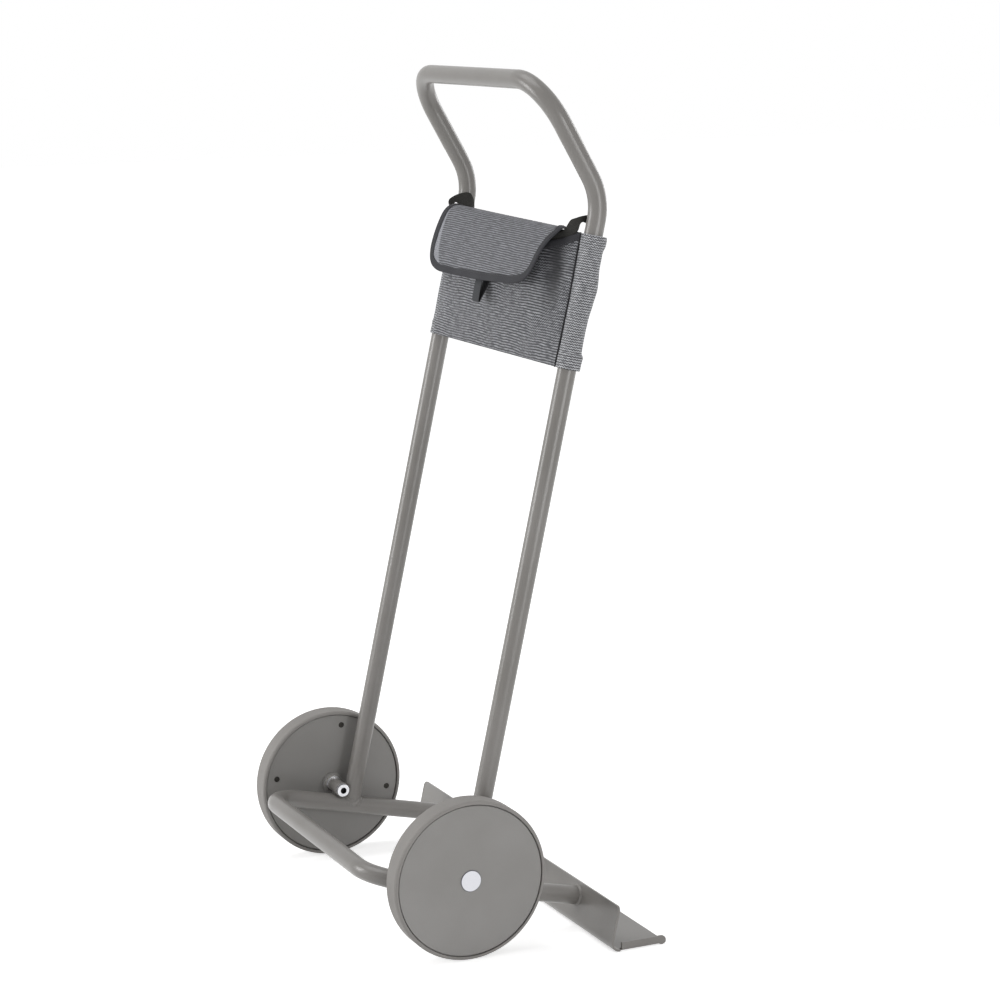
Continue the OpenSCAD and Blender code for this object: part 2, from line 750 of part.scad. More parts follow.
// Side view of the flap: a curve over the top of the pocket, then a belly down its front
function flap_over(t) =
    bezier(flap_start, flap_start + [12, 6.5], flap_fold + [-5, 15], flap_fold, t);
function flap_back(z) = flap_belly[0] - flap_curve * pow(z - flap_belly[1], 2);
function over_half(t) =
    flap_hinge_w / 2 + (flap_w - flap_hinge_w) / 2 * sqrt(1 - pow(1 - t, 2));

// Right edge of the flap, drawn in by an inset, as [x, behind the uprights, height]
function flap_edge(inset) = let (
    r = flap_corner_r,
    mid = [flap_low_w / 2 - r * (1 - sin(flap_taper)) / cos(flap_taper), flap_low + r],
    turn = [for (k = [0 : flap_steps]) let (a = -flap_taper - (90 - flap_taper) * k / flap_steps)
        mid + (r - inset) * [cos(a), sin(a)]],
    fold = [flap_w / 2 - inset, flap_fold[1]],
    side = [for (k = [1 : flap_steps - 1]) fold + (turn[0] - fold) * k / flap_steps])
    concat(
        [for (k = [0 : flap_steps]) let (t = k / flap_steps, at = flap_over(t))
            [over_half(t) - inset, at[0], at[1]]],
        [for (p = concat(side, turn)) [p[0], flap_back(p[1]), p[1]]]
    );

// Fabric of the flap, inside its tape
module bag_flap() {
    cols = 6;
    grid = [for (e = flap_edge(binding_w))
        [for (j = [0 : cols]) bag_point(e[0] * (2 * j / cols - 1), e[1], e[2])]];
    color(mesh_grey) in_frame() sheet(grid, -cloth_t / 2, cloth_t / 2);
}

// Tape folded over the free edges of the flap
module flap_binding() {
    outer = flap_edge(0);
    inner = flap_edge(binding_w);
    last = len(outer) - 1;
    function pair(k, side) = [
        bag_point(side * inner[k][0], inner[k][1], inner[k][2]),
        bag_point(side * outer[k][0], outer[k][1], outer[k][2])
    ];
    grid = concat([for (k = [0 : last]) pair(k, 1)], [for (k = [last : -1 : 0]) pair(k, -1)]);
    color(binding_grey) in_frame() sheet(grid, -tape_half, tape_half);
}

// Folded webbing sewn under the flap's lower edge; its rear leg hangs, its front leg splays
module pull_tab() {
    rear = flap_back(flap_low) - tape_half - cloth_gap / 10;
    low = flap_low - tab_l;
    top = flap_low + 6;
    splay = 5;
    color(webbing_black) in_frame() translate([tab_x - tab_w / 2, 0, 0])
        rotate([90, 0, 90]) linear_extrude(tab_w) polygon([
            [-rear, top], [-rear, low], [-rear + 2 * webbing_t, low],
            [-rear + 2 * webbing_t + splay, flap_low - 2], [-rear + webbing_t + splay, flap_low - 2],
            [-rear + webbing_t, low + 3], [-rear + webbing_t, top]
        ]);
}

// Hook strip inside the flap
module flap_fastener() {
    grid = [for (i = [0 : 4]) let (z = fastener_z + fastener_h * (1 - i / 4))
        [for (j = [0 : 1]) bag_point(fastener_w * (j - 0.5), flap_back(z), z)]];
    // The flap's own facets run between other points, so a little room is left for them
    under = cloth_t / 2 + cloth_gap / 3;
    color(webbing_black) in_frame() sheet(grid, -under - fastener_t, -under);
}

// Loop strip on the pocket, facing the hook strip
module pocket_fastener() {
    function grid(raise) = [for (i = [0 : 4]) let (z = fastener_z + fastener_h * i / 4)
        [for (j = [0 : 4]) let (x = fastener_w * (0.5 - j / 4))
            bag_point(x, front_in(x, z) + raise, z)]];
    color(webbing_black) in_frame() grid_shell(grid(cloth_t + fastener_t), grid(cloth_t));
}

handle_tube();
base_tube();
toe_plate();
upright_welds();
toe_welds();
axle_welds();
axle_sleeve("left");  // left_axle_sleeve
axle_sleeve("right");  // right_axle_sleeve
axle_bolt("left");  // left_axle_bolt
axle_bolt("right");  // right_axle_bolt
flat_washer("left", thrust_d, sleeve_end, sleeve_end + thrust_t);  // left_thrust_washer
flat_washer("right", thrust_d, sleeve_end, sleeve_end + thrust_t);  // right_thrust_washer
flat_washer("left", thrust_d, wheel_x + hub_top + end_play, wheel_x + nut_low);  // left_nut_washer
flat_washer("right", thrust_d, wheel_x + hub_top + end_play, wheel_x + nut_low);  // right_nut_washer
lock_nut("left");  // left_lock_nut
lock_nut("right");  // right_lock_nut
tyre("left");  // left_tyre
tyre("right");  // right_tyre
wheel_core("left");  // left_wheel_core
wheel_core("right");  // right_wheel_core
bush("left");  // left_bush
bush("right");  // right_bush
outer_cover("left");  // left_outer_cover
outer_cover("right");  // right_outer_cover
inner_cover("left");  // left_inner_cover
inner_cover("right");  // right_inner_cover
cover_screws("left");  // left_cover_screws
cover_screws("right");  // right_cover_screws
hub_cap("left");  // left_hub_cap
hub_cap("right");  // right_hub_cap
bag_back_panel();
bag_front_panel();
bag_sleeve("left");  // left_bag_sleeve
bag_sleeve("right");  // right_bag_sleeve
back_binding();
mouth_binding();
seam_piping();
hanger("left");  // left_hanger_strap
hanger("right");  // right_hanger_strap
bag_flap();
flap_binding();
pull_tab();
flap_fastener();
pocket_fastener();
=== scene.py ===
import math

import bmesh
import bpy
from mathutils import Matrix, Vector


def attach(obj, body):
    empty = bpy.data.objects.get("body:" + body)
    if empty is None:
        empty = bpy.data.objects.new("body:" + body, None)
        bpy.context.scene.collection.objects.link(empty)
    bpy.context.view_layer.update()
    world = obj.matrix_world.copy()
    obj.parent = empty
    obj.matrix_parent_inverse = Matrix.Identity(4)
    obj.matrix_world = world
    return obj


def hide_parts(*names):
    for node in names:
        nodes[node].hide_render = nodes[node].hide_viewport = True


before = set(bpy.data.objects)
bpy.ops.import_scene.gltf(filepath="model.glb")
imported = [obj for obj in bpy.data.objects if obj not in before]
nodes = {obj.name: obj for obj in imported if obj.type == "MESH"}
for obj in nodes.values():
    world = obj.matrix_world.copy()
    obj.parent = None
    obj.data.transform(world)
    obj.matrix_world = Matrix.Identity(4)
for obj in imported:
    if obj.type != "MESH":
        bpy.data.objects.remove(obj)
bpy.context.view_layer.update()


# The frame: two bent steel tubes, a folded toe plate and the axle sleeves, all welded together
# and then powder-coated in one go, so tube, plate and weld beads share one warm grey skin.
def linear(colour):
    """Linear RGBA of an sRGB hex colour."""
    parts = [int(colour[k : k + 2], 16) / 255 for k in (1, 3, 5)]
    return [c / 12.92 if c <= 0.04045 else ((c + 0.055) / 1.055) ** 2.4 for c in parts] + [1]


def add(material, kind, settings=(), links=()):
    """Adds a shader node, sets its fields and sockets, and links other nodes' outputs to it."""
    made = material.node_tree.nodes.new("ShaderNode" + kind)
    for name, value in dict(settings).items():
        if isinstance(name, str) and name not in made.inputs:
            setattr(made, name, value)
        else:
            made.inputs[name].default_value = value
    for name, source in dict(links).items():
        material.node_tree.links.new(source, made.inputs[name])
    return made


def new_material(name):
    """A material with an empty node tree."""
    material = bpy.data.materials.new(name)
    material.use_nodes = True
    material.node_tree.nodes.clear()
    return material


def surface(material, settings, links):
    """Gives a material its surface, from the shader's constants and from what patterns drive."""
    shader = add(material, "BsdfPrincipled", settings, links)
    add(material, "OutputMaterial", links={"Surface": shader.outputs["BSDF"]})


def set_stops(ramp, stops):
    """Sets the places and colours of a colour ramp."""
    band = ramp.color_ramp
    while len(band.elements) < len(stops):
        band.elements.new(0.5)
    for element, (place, colour) in zip(band.elements, stops):
        element.position = place
        element.color = linear(colour)


def dress(material, *names):
    """Puts a material on CAD nodes."""
    for name in names:
        for slot in nodes[name].material_slots:
            slot.material = material


# Satin powder coat on steel: a highlight that stays narrow across a tube, a faint orange peel
# 2 mm wide, and a slow drift between warmer and cooler grey.
PEEL_W, SPECKLE_W, DRIFT_W = 2, 0.83, 111
powder_coat = new_material("satin powder coat")
here = {"Vector": add(powder_coat, "TexCoord").outputs["Object"]}
drift = add(powder_coat, "TexNoise", {"Scale": 1000 / DRIFT_W, "Detail": 3}, here)
speckle = add(powder_coat, "TexNoise", {"Scale": 1000 / SPECKLE_W, "Detail": 1}, here)
both = add(powder_coat, "Mix", {"data_type": "FLOAT", "Factor": 0.35},
           {2: drift.outputs["Fac"], 3: speckle.outputs["Fac"]})
tint = add(powder_coat, "ValToRGB", links={"Fac": both.outputs[0]})
set_stops(tint, [(0.35, "#7c7975"), (0.65, "#898683")])
peel = add(powder_coat, "TexNoise", {"Scale": 1000 / PEEL_W, "Detail": 2}, here)
relief = add(powder_coat, "Bump", {"Strength": 0.08, "Distance": 0.0005}, {"Height": peel.outputs["Fac"]})
surface(powder_coat, {"Roughness": 0.29, "IOR": 1.5},
        {"Base Color": tint.outputs["Color"], "Normal": relief.outputs["Normal"]})
dress(powder_coat, "handle_tube", "base_tube", "toe_plate", "left_axle_sleeve", "right_axle_sleeve")

# The same coat over weld beads: the ripples of the bead, 2.5 mm apart, show through it, and
# painted shade darkens the hollows between them.
RIPPLE_W = 2.5
coated_weld = new_material("powder coat over a weld bead")
here = {"Vector": add(coated_weld, "TexCoord").outputs["Object"]}
lumps = add(coated_weld, "TexVoronoi",
            {"Scale": 1000 / RIPPLE_W, "feature": "SMOOTH_F1", "Smoothness": 0.8}, here)
# painted shade: the coat is darker where the relief sinks between ripples
tint = add(coated_weld, "ValToRGB", links={"Fac": lumps.outputs["Distance"]})
set_stops(tint, [(0.1, "#8c8986"), (0.8, "#7f7c78")])
relief = add(coated_weld, "Bump", {"Strength": 0.3, "Distance": 0.001, "invert": True},
             {"Height": lumps.outputs["Distance"]})
surface(coated_weld, {"Roughness": 0.38, "IOR": 1.5},
        {"Base Color": tint.outputs["Color"], "Normal": relief.outputs["Normal"]})
dress(coated_weld, "upright_welds", "toe_welds", "axle_welds")


# Axle hardware: socket-head bolts, washers and lock nuts of turned steel, zinc plated. Each bolt
# runs through its axle sleeve, with its head between the wheels and painted shade in its socket,
# and a wheel turns on its outer end.

# The axle and the uprights' feet lie, in mm, where the part's own sizes put them: an axle sleeve
# nests in the corner of upright and side tube, and the whole is centred from rear bar to toe.
LEAN = math.radians(13)
WHEEL_R, TUBE_R, AXLE_SLEEVE_R = 107.5, 12.5, 10
NEST = TUBE_R + AXLE_SLEEVE_R
BASE_Z = WHEEL_R - NEST * (math.sin(LEAN) + math.cos(LEAN))
FRONT_REACH, REAR_REACH, HEEL_R, TOE_FLAT = 168, 133.5, 12, 68.5
HEEL_Y = (FRONT_REACH + HEEL_R + (HEEL_R - BASE_Z) * math.sin(LEAN)) / math.cos(LEAN)
REAR_Y = -REAR_REACH * math.cos(LEAN) - TUBE_R
Y_SHIFT = (HEEL_Y + TOE_FLAT + REAR_Y) / 2
AXLE_Y = NEST * (math.sin(LEAN) - math.cos(LEAN)) - Y_SHIFT
SOCKET_R, HEAD_SIDE_X = 4.6, 194
TO_AXLE = {"Location": (0, -AXLE_Y / 1000, -WHEEL_R / 1000), "Scale": (0, 1, 1)}

# Bright zinc plating: a clean metal highlight, slightly uneven in clouds 6 mm wide.
CLOUD_W = 6.25
bright_zinc = new_material("bright zinc plating")
here = {"Vector": add(bright_zinc, "TexCoord").outputs["Object"]}
cloud = add(bright_zinc, "TexNoise", {"Scale": 1000 / CLOUD_W, "Detail": 4}, here)
tint = add(bright_zinc, "ValToRGB", links={"Fac": cloud.outputs["Fac"]})
set_stops(tint, [(0.3, "#d6d7db"), (0.7, "#eeeef1")])
worn = add(bright_zinc, "MapRange", {"To Min": 0.22, "To Max": 0.38}, {"Value": cloud.outputs["Fac"]})
round_axle = add(bright_zinc, "Mapping", TO_AXLE, here)
off_axle = add(bright_zinc, "VectorMath", {"operation": "LENGTH"}, {0: round_axle.outputs[0]})
# painted shade in each bolt's socket: within SOCKET_R of the axle, inside HEAD_SIDE_X, the zinc turns
# #1d1d1e
in_socket = add(bright_zinc, "MapRange",
                {"From Min": (SOCKET_R + 0.2) / 1000, "From Max": (SOCKET_R - 0.2) / 1000},
                {"Value": off_axle.outputs["Value"]})
part = add(bright_zinc, "SeparateXYZ", links=here)
across = add(bright_zinc, "Math", {"operation": "ABSOLUTE"}, {0: part.outputs["X"]})
at_head = add(bright_zinc, "Math", {"operation": "LESS_THAN", 1: HEAD_SIDE_X / 1000},
              {0: across.outputs[0]})
painted_socket_shade = add(bright_zinc, "Math", {"operation": "MULTIPLY"},
             {0: in_socket.outputs[0], 1: at_head.outputs[0]})
shade = add(bright_zinc, "Mix", {"data_type": "RGBA", 7: linear("#1d1d1e")},
            {"Factor": painted_socket_shade.outputs[0], 6: tint.outputs["Color"]})
surface(bright_zinc, {"Metallic": 1},
        {"Base Color": shade.outputs[2], "Roughness": worn.outputs["Result"]})
dress(bright_zinc, "left_axle_bolt", "right_axle_bolt", "left_thrust_washer", "right_thrust_washer",
      "left_nut_washer", "right_nut_washer", "left_lock_nut", "right_lock_nut")


# Wheels: a moulded core under two flat cover discs, a solid tyre round it, four sunk screws in
# the inner cover, a bush inside the hub, and a silver cap snapped into the outer cover.
def moulded(name, grain_w, cloud_w, detail, depth, stops, settings):
    """Finish with the fine grain of its mould over slow clouds; the widths of both are in mm."""
    material = new_material(name)
    here = {"Vector": add(material, "TexCoord").outputs["Object"]}
    grain = add(material, "TexNoise", {"Scale": 1000 / grain_w, "Detail": 2}, here)
    cloud = add(material, "TexNoise", {"Scale": 1000 / cloud_w, "Detail": detail}, here)
    both = add(material, "Mix", {"data_type": "FLOAT", "Factor": 0.4},
               {2: cloud.outputs["Fac"], 3: grain.outputs["Fac"]})
    tint = add(material, "ValToRGB", links={"Fac": both.outputs[0]})
    set_stops(tint, stops)
    relief = add(material, "Bump", {"Strength": depth, "Distance": 0.0004},
                 {"Height": grain.outputs["Fac"]})
    surface(material, settings,
            {"Base Color": tint.outputs["Color"], "Normal": relief.outputs["Normal"]})
    return material


# Solid grey tyre, matt and slightly dusty, with a grain left by the mould 1.1 mm wide.
tyre_rubber = moulded("grey solid rubber", grain_w=1.11, cloud_w=71.4, detail=4, depth=0.15,
                      stops=[(0.35, "#8a8784"), (0.65, "#94918e")],
                      settings={"Roughness": 0.72, "IOR": 1.5})
dress(tyre_rubber, "left_tyre", "right_tyre")

# Moulded nylon of the cover discs and the core, a shade yellower and smoother than the tyre,
# with a spark-eroded mould texture 0.8 mm wide.
disc_nylon = moulded("moulded grey nylon", grain_w=0.83, cloud_w=91, detail=3, depth=0.12,
                     stops=[(0.35, "#8a8885"), (0.65, "#949290")],
                     settings={"Roughness": 0.55, "IOR": 1.52})
dress(disc_nylon, "left_outer_cover", "right_outer_cover", "left_inner_cover", "right_inner_cover",
      "left_wheel_core", "right_wheel_core")

# Blackened steel of the cover screws: dark, mottled lighter and darker in clouds 1.4 mm wide.
CLOUD_W = 1.43
black_steel = new_material("blackened steel screws")
here = {"Vector": add(black_steel, "TexCoord").outputs["Object"]}
cloud = add(black_steel, "TexNoise", {"Scale": 1000 / CLOUD_W, "Detail": 2}, here)
tint = add(black_steel, "ValToRGB", links={"Fac": cloud.outputs["Fac"]})
set_stops(tint, [(0.3, "#2b2a28"), (0.7, "#45433f")])
surface(black_steel, {"Metallic": 0.8, "Roughness": 0.42}, {"Base Color": tint.outputs["Color"]})
dress(black_steel, "left_cover_screws", "right_cover_screws")

# Silver lacquer on the hub caps: pale and even, with metallic flake 0.55 mm wide, and painted
# shade in a thin ring at the cap's edge.
FLAKE_W, CAP_R = 0.556, 14.5
silver_lacquer = new_material("silver lacquered cap")
here = {"Vector": add(silver_lacquer, "TexCoord").outputs["Object"]}
flake = add(silver_lacquer, "TexVoronoi", {"Scale": 1000 / FLAKE_W}, here)
tint = add(silver_lacquer, "ValToRGB", links={"Fac": flake.outputs["Distance"]})
set_stops(tint, [(0.1, "#d9d9dd"), (0.9, "#c8c9cf")])
round_axle = add(silver_lacquer, "Mapping", TO_AXLE, here)
off_axle = add(silver_lacquer, "VectorMath", {"operation": "LENGTH"}, {0: round_axle.outputs[0]})
# painted shade: the outer 1.1 mm of the cap darkens towards #55565f
at_edge = add(silver_lacquer, "MapRange",
              {"From Min": (CAP_R - 1.1) / 1000, "From Max": (CAP_R - 0.5) / 1000},
              {"Value": off_axle.outputs["Value"]})
painted_rim_shade = add(silver_lacquer, "Mix", {"data_type": "RGBA", 7: linear("#55565f")},
            {"Factor": at_edge.outputs[0], 6: tint.outputs["Color"]})
surface(silver_lacquer, {"Metallic": 0.55, "Roughness": 0.38}, {"Base Color": painted_rim_shade.outputs[2]})
dress(silver_lacquer, "left_hub_cap", "right_hub_cap")

# Ivory acetal of the bushes: smooth and faintly waxy, with clouds 5 mm wide.
CLOUD_W = 5
acetal = new_material("ivory acetal")
here = {"Vector": add(acetal, "TexCoord").outputs["Object"]}
cloud = add(acetal, "TexNoise", {"Scale": 1000 / CLOUD_W, "Detail": 2}, here)
tint = add(acetal, "ValToRGB", links={"Fac": cloud.outputs["Fac"]})
set_stops(tint, [(0.3, "#d8d4c6"), (0.7, "#e2dfd4")])
surface(acetal, {"Roughness": 0.4, "IOR": 1.48}, {"Base Color": tint.outputs["Color"]})
dress(acetal, "left_bush", "right_bush")


# The bag's back panel: a flat sheet of coated mesh stretched between the two uprights, sewn to
# a sleeve on each side. Its upper edge is bound with tape.
CLOTH, CLOTH_GAP = 1.2, 0.25
BACK_OUT = TUBE_R + CLOTH_GAP + CLOTH
BAG_LOW = 698
BAG_TOP = BAG_LOW + 177
UPRIGHT_X = 207
SEAM_X = UPRIGHT_X - 7.5
BACK_ROWS, BACK_COLS = 12, 32
RIPPLE, RIPPLE_W = 0.3, 23


def leaned(x, back, up):
    """Place in metres of a point given in mm: across, behind the uprights' centre line, and up
    along them."""
    return Vector((
        x,
        -back * math.cos(LEAN) + up * math.sin(LEAN) - Y_SHIFT,
        BASE_Z + back * math.sin(LEAN) + up * math.cos(LEAN),
    )) / 1000


def height_up(point):
    """Height of a point along the uprights, in metres."""
    return (point.y + Y_SHIFT / 1000) * math.sin(LEAN) + (point.z - BASE_Z / 1000) * math.cos(LEAN)


def sheet_through(name, rows, closed=False, level=False):
    """Mesh through rows of points, with a UV map that measures the cloth in metres. With level,
    its threads run level even where the rows don't, as in cloth cut along a curve."""
    count = len(rows[0])
    middle = rows[len(rows) // 2]
    across = [0]
    for k in range(1, count + (1 if closed else 0)):
        across.append(across[-1] + (middle[k % count] - middle[k - 1]).length)
    upward = [0]
    for row, under in zip(rows[1:], rows):
        upward.append(upward[-1] + (row[count // 2] - under[count // 2]).length)
    faces, places = [], []
    for i in range(len(rows) - 1):
        for j in range(count if closed else count - 1):
            k = (j + 1) % count
            faces.append((i * count + j, i * count + k, (i + 1) * count + k, (i + 1) * count + j))
            for a, b in ((0, 0), (1, 0), (1, 1), (0, 1)):
                v = height_up(rows[i + b][(j + a) % count]) - BAG_LOW / 1000 if level else upward[i + b]
                places.append((across[j + a], v))
    mesh = bpy.data.meshes.new(name)
    mesh.from_pydata([p for row in rows for p in row], [], faces)
    mesh.uv_layers.new(name="cloth").data.foreach_set("uv", [c for place in places for c in place])
    piece = bpy.data.objects.new(name, mesh)
    bpy.context.scene.collection.objects.link(piece)
    return piece


def smooth(piece, levels=1):
    """Rounds a piece off with subdivision."""
    rounding = piece.modifiers.new("smooth", "SUBSURF")
    rounding.levels = rounding.render_levels = levels
    for face in piece.data.polygons:
        face.use_smooth = True


def thicken(piece, thickness, levels=1):
    """Gives a sheet its thickness in mm and a smooth surface."""
    wall = piece.modifiers.new("thickness", "SOLIDIFY")
    wall.thickness = thickness / 1000
    wall.offset = 0
    wall.use_even_offset = True
    smooth(piece, levels)


# Vinyl-coated polyester mesh in mottled grey. Its heavy cross threads give fine level ribs, the
# lighter and darker yarns in them give streaks, and where the cloth is strained its open cells
# show as small waves. Threads 1.2 mm apart are too fine for the picture, so its ribs are drawn
# about three threads wide.

# in mm: the patches where waves show, and the bends in the ribs
PATCH_W, BEND_W = 58.8, 62.5


def coated_mesh(name, stops, rib, wave=4.2, wavy=0, patchy=0, contrast=0.42, streak=16,
                pale_from=None, shaded_band_at=None):
    """Ribbed mesh: rib, wave and streak are widths in mm. wavy is how deep the waves are
    everywhere, and patchy how much deeper in patches. Past pale_from, across the cloth in metres,
    a painted highlight pales the cloth and fades its ribs. The last argument gives the cloth's
    middle, a distance on either side of it, and a width, in metres: there, beside each seam,
    painted shade darkens the cloth."""
    material = new_material(name)
    uv = add(material, "UVMap", {"uv_map": "cloth"})
    here = {"Vector": uv.outputs["UV"]}
    part = add(material, "SeparateXYZ", links=here)
    x, y = part.outputs["X"], part.outputs["Y"]
    patches = add(material, "TexNoise", {"Scale": 1000 / PATCH_W, "Detail": 1}, here)
    depth = add(material, "MapRange",
                {"From Min": 0.42, "From Max": 0.56, "To Min": wavy, "To Max": wavy + patchy},
                {"Value": patches.outputs["Fac"]})
    waves = add(material, "Math", {"operation": "MULTIPLY", 1: 1000 / wave}, {0: x})
    zigzag = add(material, "Math", {"operation": "PINGPONG", 1: 0.5}, {0: waves.outputs[0]})
    shift = add(material, "Math", {"operation": "MULTIPLY"}, {0: zigzag.outputs[0], 1: depth.outputs[0]})
    level = add(material, "Math", {"operation": "MULTIPLY_ADD", 1: 1000 / rib}, {0: y, 2: shift.outputs[0]})
    # uneven weaving bends the ribs a little
    bend = add(material, "TexNoise", {"Scale": 1000 / BEND_W, "Detail": 2}, here)
    bent = add(material, "Math", {"operation": "ADD"}, {0: bend.outputs["Fac"], 1: level.outputs[0]})
    turned = add(material, "Math", {"operation": "MULTIPLY", 1: 2 * math.pi}, {0: bent.outputs[0]})
    ribs = add(material, "Math", {"operation": "SINE"}, {0: turned.outputs[0]})
    # a shade of yarn for each half rib, changing along it
    half = add(material, "Math", {"operation": "MULTIPLY", 1: 2}, {0: bent.outputs[0]})
    row = add(material, "Math", {"operation": "ROUND"}, {0: half.outputs[0]})
    along = add(material, "Math", {"operation": "MULTIPLY", 1: 1000 / streak}, {0: x})
    yarn_at = add(material, "CombineXYZ", links={"X": along.outputs[0], "Y": row.outputs[0]})
    yarn = add(material, "TexNoise", {"Scale": 1, "Detail": 3, "Roughness": 0.68},
               {"Vector": yarn_at.outputs[0]})
    # ribs stand out more in some places than in others
    faint, strong = 0.15 * contrast, 1.6 * contrast
    strength = add(material, "MapRange",
                   {"From Min": 0.35, "From Max": 0.65, "To Min": faint, "To Max": strong},
                   {"Value": yarn.outputs["Fac"]})
    # the dark gaps between ribs are narrower than the ribs
    gap = add(material, "MapRange", {"From Min": -1, "To Min": 1, "To Max": 0}, {"Value": ribs.outputs[0]})
    narrow = add(material, "Math", {"operation": "POWER", 1: 2.4}, {0: gap.outputs["Result"]})
    lines = add(material, "Math", {"operation": "MULTIPLY_ADD", 1: -1.9, 2: 0.55}, {0: narrow.outputs[0]})
    ribs_part = add(material, "Math", {"operation": "MULTIPLY"},
                    {0: lines.outputs[0], 1: strength.outputs[0]})
    yarn_part = add(material, "Math", {"operation": "MULTIPLY_ADD", 1: 0.6, 2: 0.2},
                    {0: yarn.outputs["Fac"]})
    shade = add(material, "Math", {"operation": "ADD"}, {0: ribs_part.outputs[0], 1: yarn_part.outputs[0]})
    tint = add(material, "ValToRGB", links={"Fac": shade.outputs[0]})
    set_stops(tint, stops)
    colour = tint.outputs["Color"]
    # painted highlight: past pale_from the cloth turns paler, towards #a2a3aa, and its ribs fade
    if pale_from:
        # the strip's edge slants in towards the fold
        slant = add(material, "Math", {"operation": "MULTIPLY_ADD", 1: -0.2}, {0: y, 2: x})
        inside = add(material, "MapRange",
                     {"From Min": pale_from, "From Max": pale_from + 0.004, "To Max": 0.7},
                     {"Value": slant.outputs[0]})
        painted_highlight = add(material, "Mix", {"data_type": "RGBA", 7: linear("#a2a3aa")},
                    {"Factor": inside.outputs[0], 6: colour})
        colour = painted_highlight.outputs[2]
    if shaded_band_at:
        middle, distance, width = shaded_band_at
        # how far from the line of the painted shade: ||x - middle| - distance|
        off = add(material, "Math", {"operation": "SUBTRACT", 1: middle}, {0: x})
        aside = add(material, "Math", {"operation": "ABSOLUTE"}, {0: off.outputs[0]})
        off = add(material, "Math", {"operation": "SUBTRACT", 1: distance}, {0: aside.outputs[0]})
        aside = add(material, "Math", {"operation": "ABSOLUTE"}, {0: off.outputs[0]})
        near = add(material, "MapRange",
                   {"interpolation_type": "SMOOTHSTEP", "From Min": width, "From Max": 0},
                   {"Value": aside.outputs[0]})
        # the painted shade starts from about a third of the pocket's height upwards
        upper = add(material, "MapRange",
                    {"interpolation_type": "SMOOTHSTEP",
                     "From Min": 0.05, "From Max": 0.115, "To Max": 0.88},
                    {"Value": y})
        share = add(material, "Math", {"operation": "MULTIPLY"}, {0: near.outputs[0], 1: upper.outputs[0]})
        # painted shade beside the seam, towards #27272a
        painted_shade = add(material, "Mix", {"data_type": "RGBA", 7: linear("#27272a")},
                       {"Factor": share.outputs[0], 6: colour})
        colour = painted_shade.outputs[2]
    relief = add(material, "Bump", {"Strength": 0.4, "Distance": 0.0005}, {"Height": ribs.outputs[0]})
    surface(material, {"Roughness": 0.6, "IOR": 1.45},
            {"Base Color": colour, "Normal": relief.outputs["Normal"]})
    return material


PANEL_STOPS = [(0.2, "#1e1f21"), (0.5, "#505156"), (0.8, "#a4a5aa")]
panel_mesh = coated_mesh("mottled grey coated mesh", PANEL_STOPS, rib=3.6, patchy=0.8)
rows = []
for i in range(BACK_ROWS + 1):
    up = BAG_LOW + (BAG_TOP - BAG_LOW) * i / BACK_ROWS
    row = []
    for j in range(BACK_COLS + 1):
        x = SEAM_X * (1 - 2 * j / BACK_COLS)
        row.append(leaned(x, BACK_OUT - CLOTH / 2 + RIPPLE * math.sin(x / RIPPLE_W + i), up))
    rows.append(row)
back_cloth = sheet_through("back_cloth", rows)
back_cloth.data.materials.append(panel_mesh)
thicken(back_cloth, CLOTH)
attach(back_cloth, "frame")
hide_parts("bag_back_panel")


# Binding tape on the back panel's upper edge: grosgrain folded over the raw edge and sewn
# through, so its two faces and the fold stand a little proud of the mesh.
BINDING_W, TAPE_T, FUZZ_W = 10, 0.5, 1.43
TAPE_HALF = CLOTH / 2 + 0.55


def tape_material(name, colour, light, rib=1.1):
    """Matt woven tape with a faint fuzz; its ribs run across it, rib mm apart."""
    material = new_material(name)
    uv = add(material, "UVMap", {"uv_map": "cloth"})
    part = add(material, "SeparateXYZ", links={"Vector": uv.outputs["UV"]})
    turned = add(material, "Math", {"operation": "MULTIPLY", 1: 2000 * math.pi / rib},
                 {0: part.outputs["X"]})
    ribs = add(material, "Math", {"operation": "SINE"}, {0: turned.outputs[0]})
    fuzz = add(material, "TexNoise", {"Scale": 1000 / FUZZ_W, "Detail": 3}, {"Vector": uv.outputs["UV"]})
    mixed = add(material, "Math", {"operation": "MULTIPLY_ADD", 1: 0.12},
                {0: ribs.outputs[0], 2: fuzz.outputs["Fac"]})
    tint = add(material, "ValToRGB", links={"Fac": mixed.outputs[0]})
    set_stops(tint, [(0.3, colour), (0.7, light)])
    relief = add(material, "Bump", {"Strength": 0.4, "Distance": 0.0003}, {"Height": mixed.outputs[0]})
    surface(material, {"Roughness": 0.85, "IOR": 1.4},
            {"Base Color": tint.outputs["Color"], "Normal": relief.outputs["Normal"]})
    return material


def tape_over(name, edge, inward, outward, widths, body):
    """Tape folded over an edge: a U-shaped section swept along the edge's points. inward and
    outward give, for each point, the direction into the cloth and its face's normal. The tape
    stands fullest at half its width and its sewn edges press into the cloth."""
    rows = []
    for p, n, m, width in zip(edge, inward, outward, widths):
        hem, full = n * width, n * width * 0.55
        row = [p + (hem + m * TAPE_HALF * 0.75) / 1000, p + (full + m * TAPE_HALF * 1.15) / 1000]
        for k in range(5):
            a = math.pi * (0.5 - k / 4)
            row.append(p + (m * math.sin(a) - n * math.cos(a) * 0.8) * TAPE_HALF / 1000)
        row += [p + (full - m * TAPE_HALF * 1.15) / 1000, p + (hem - m * TAPE_HALF * 0.75) / 1000]
        rows.append(row)
    columns = [[row[k] for row in rows] for k in range(len(rows[0]))]
    piece = sheet_through(name, columns)
    piece.data.materials.append(dark_tape)
    thicken(piece, TAPE_T)
    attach(piece, body)
    return piece


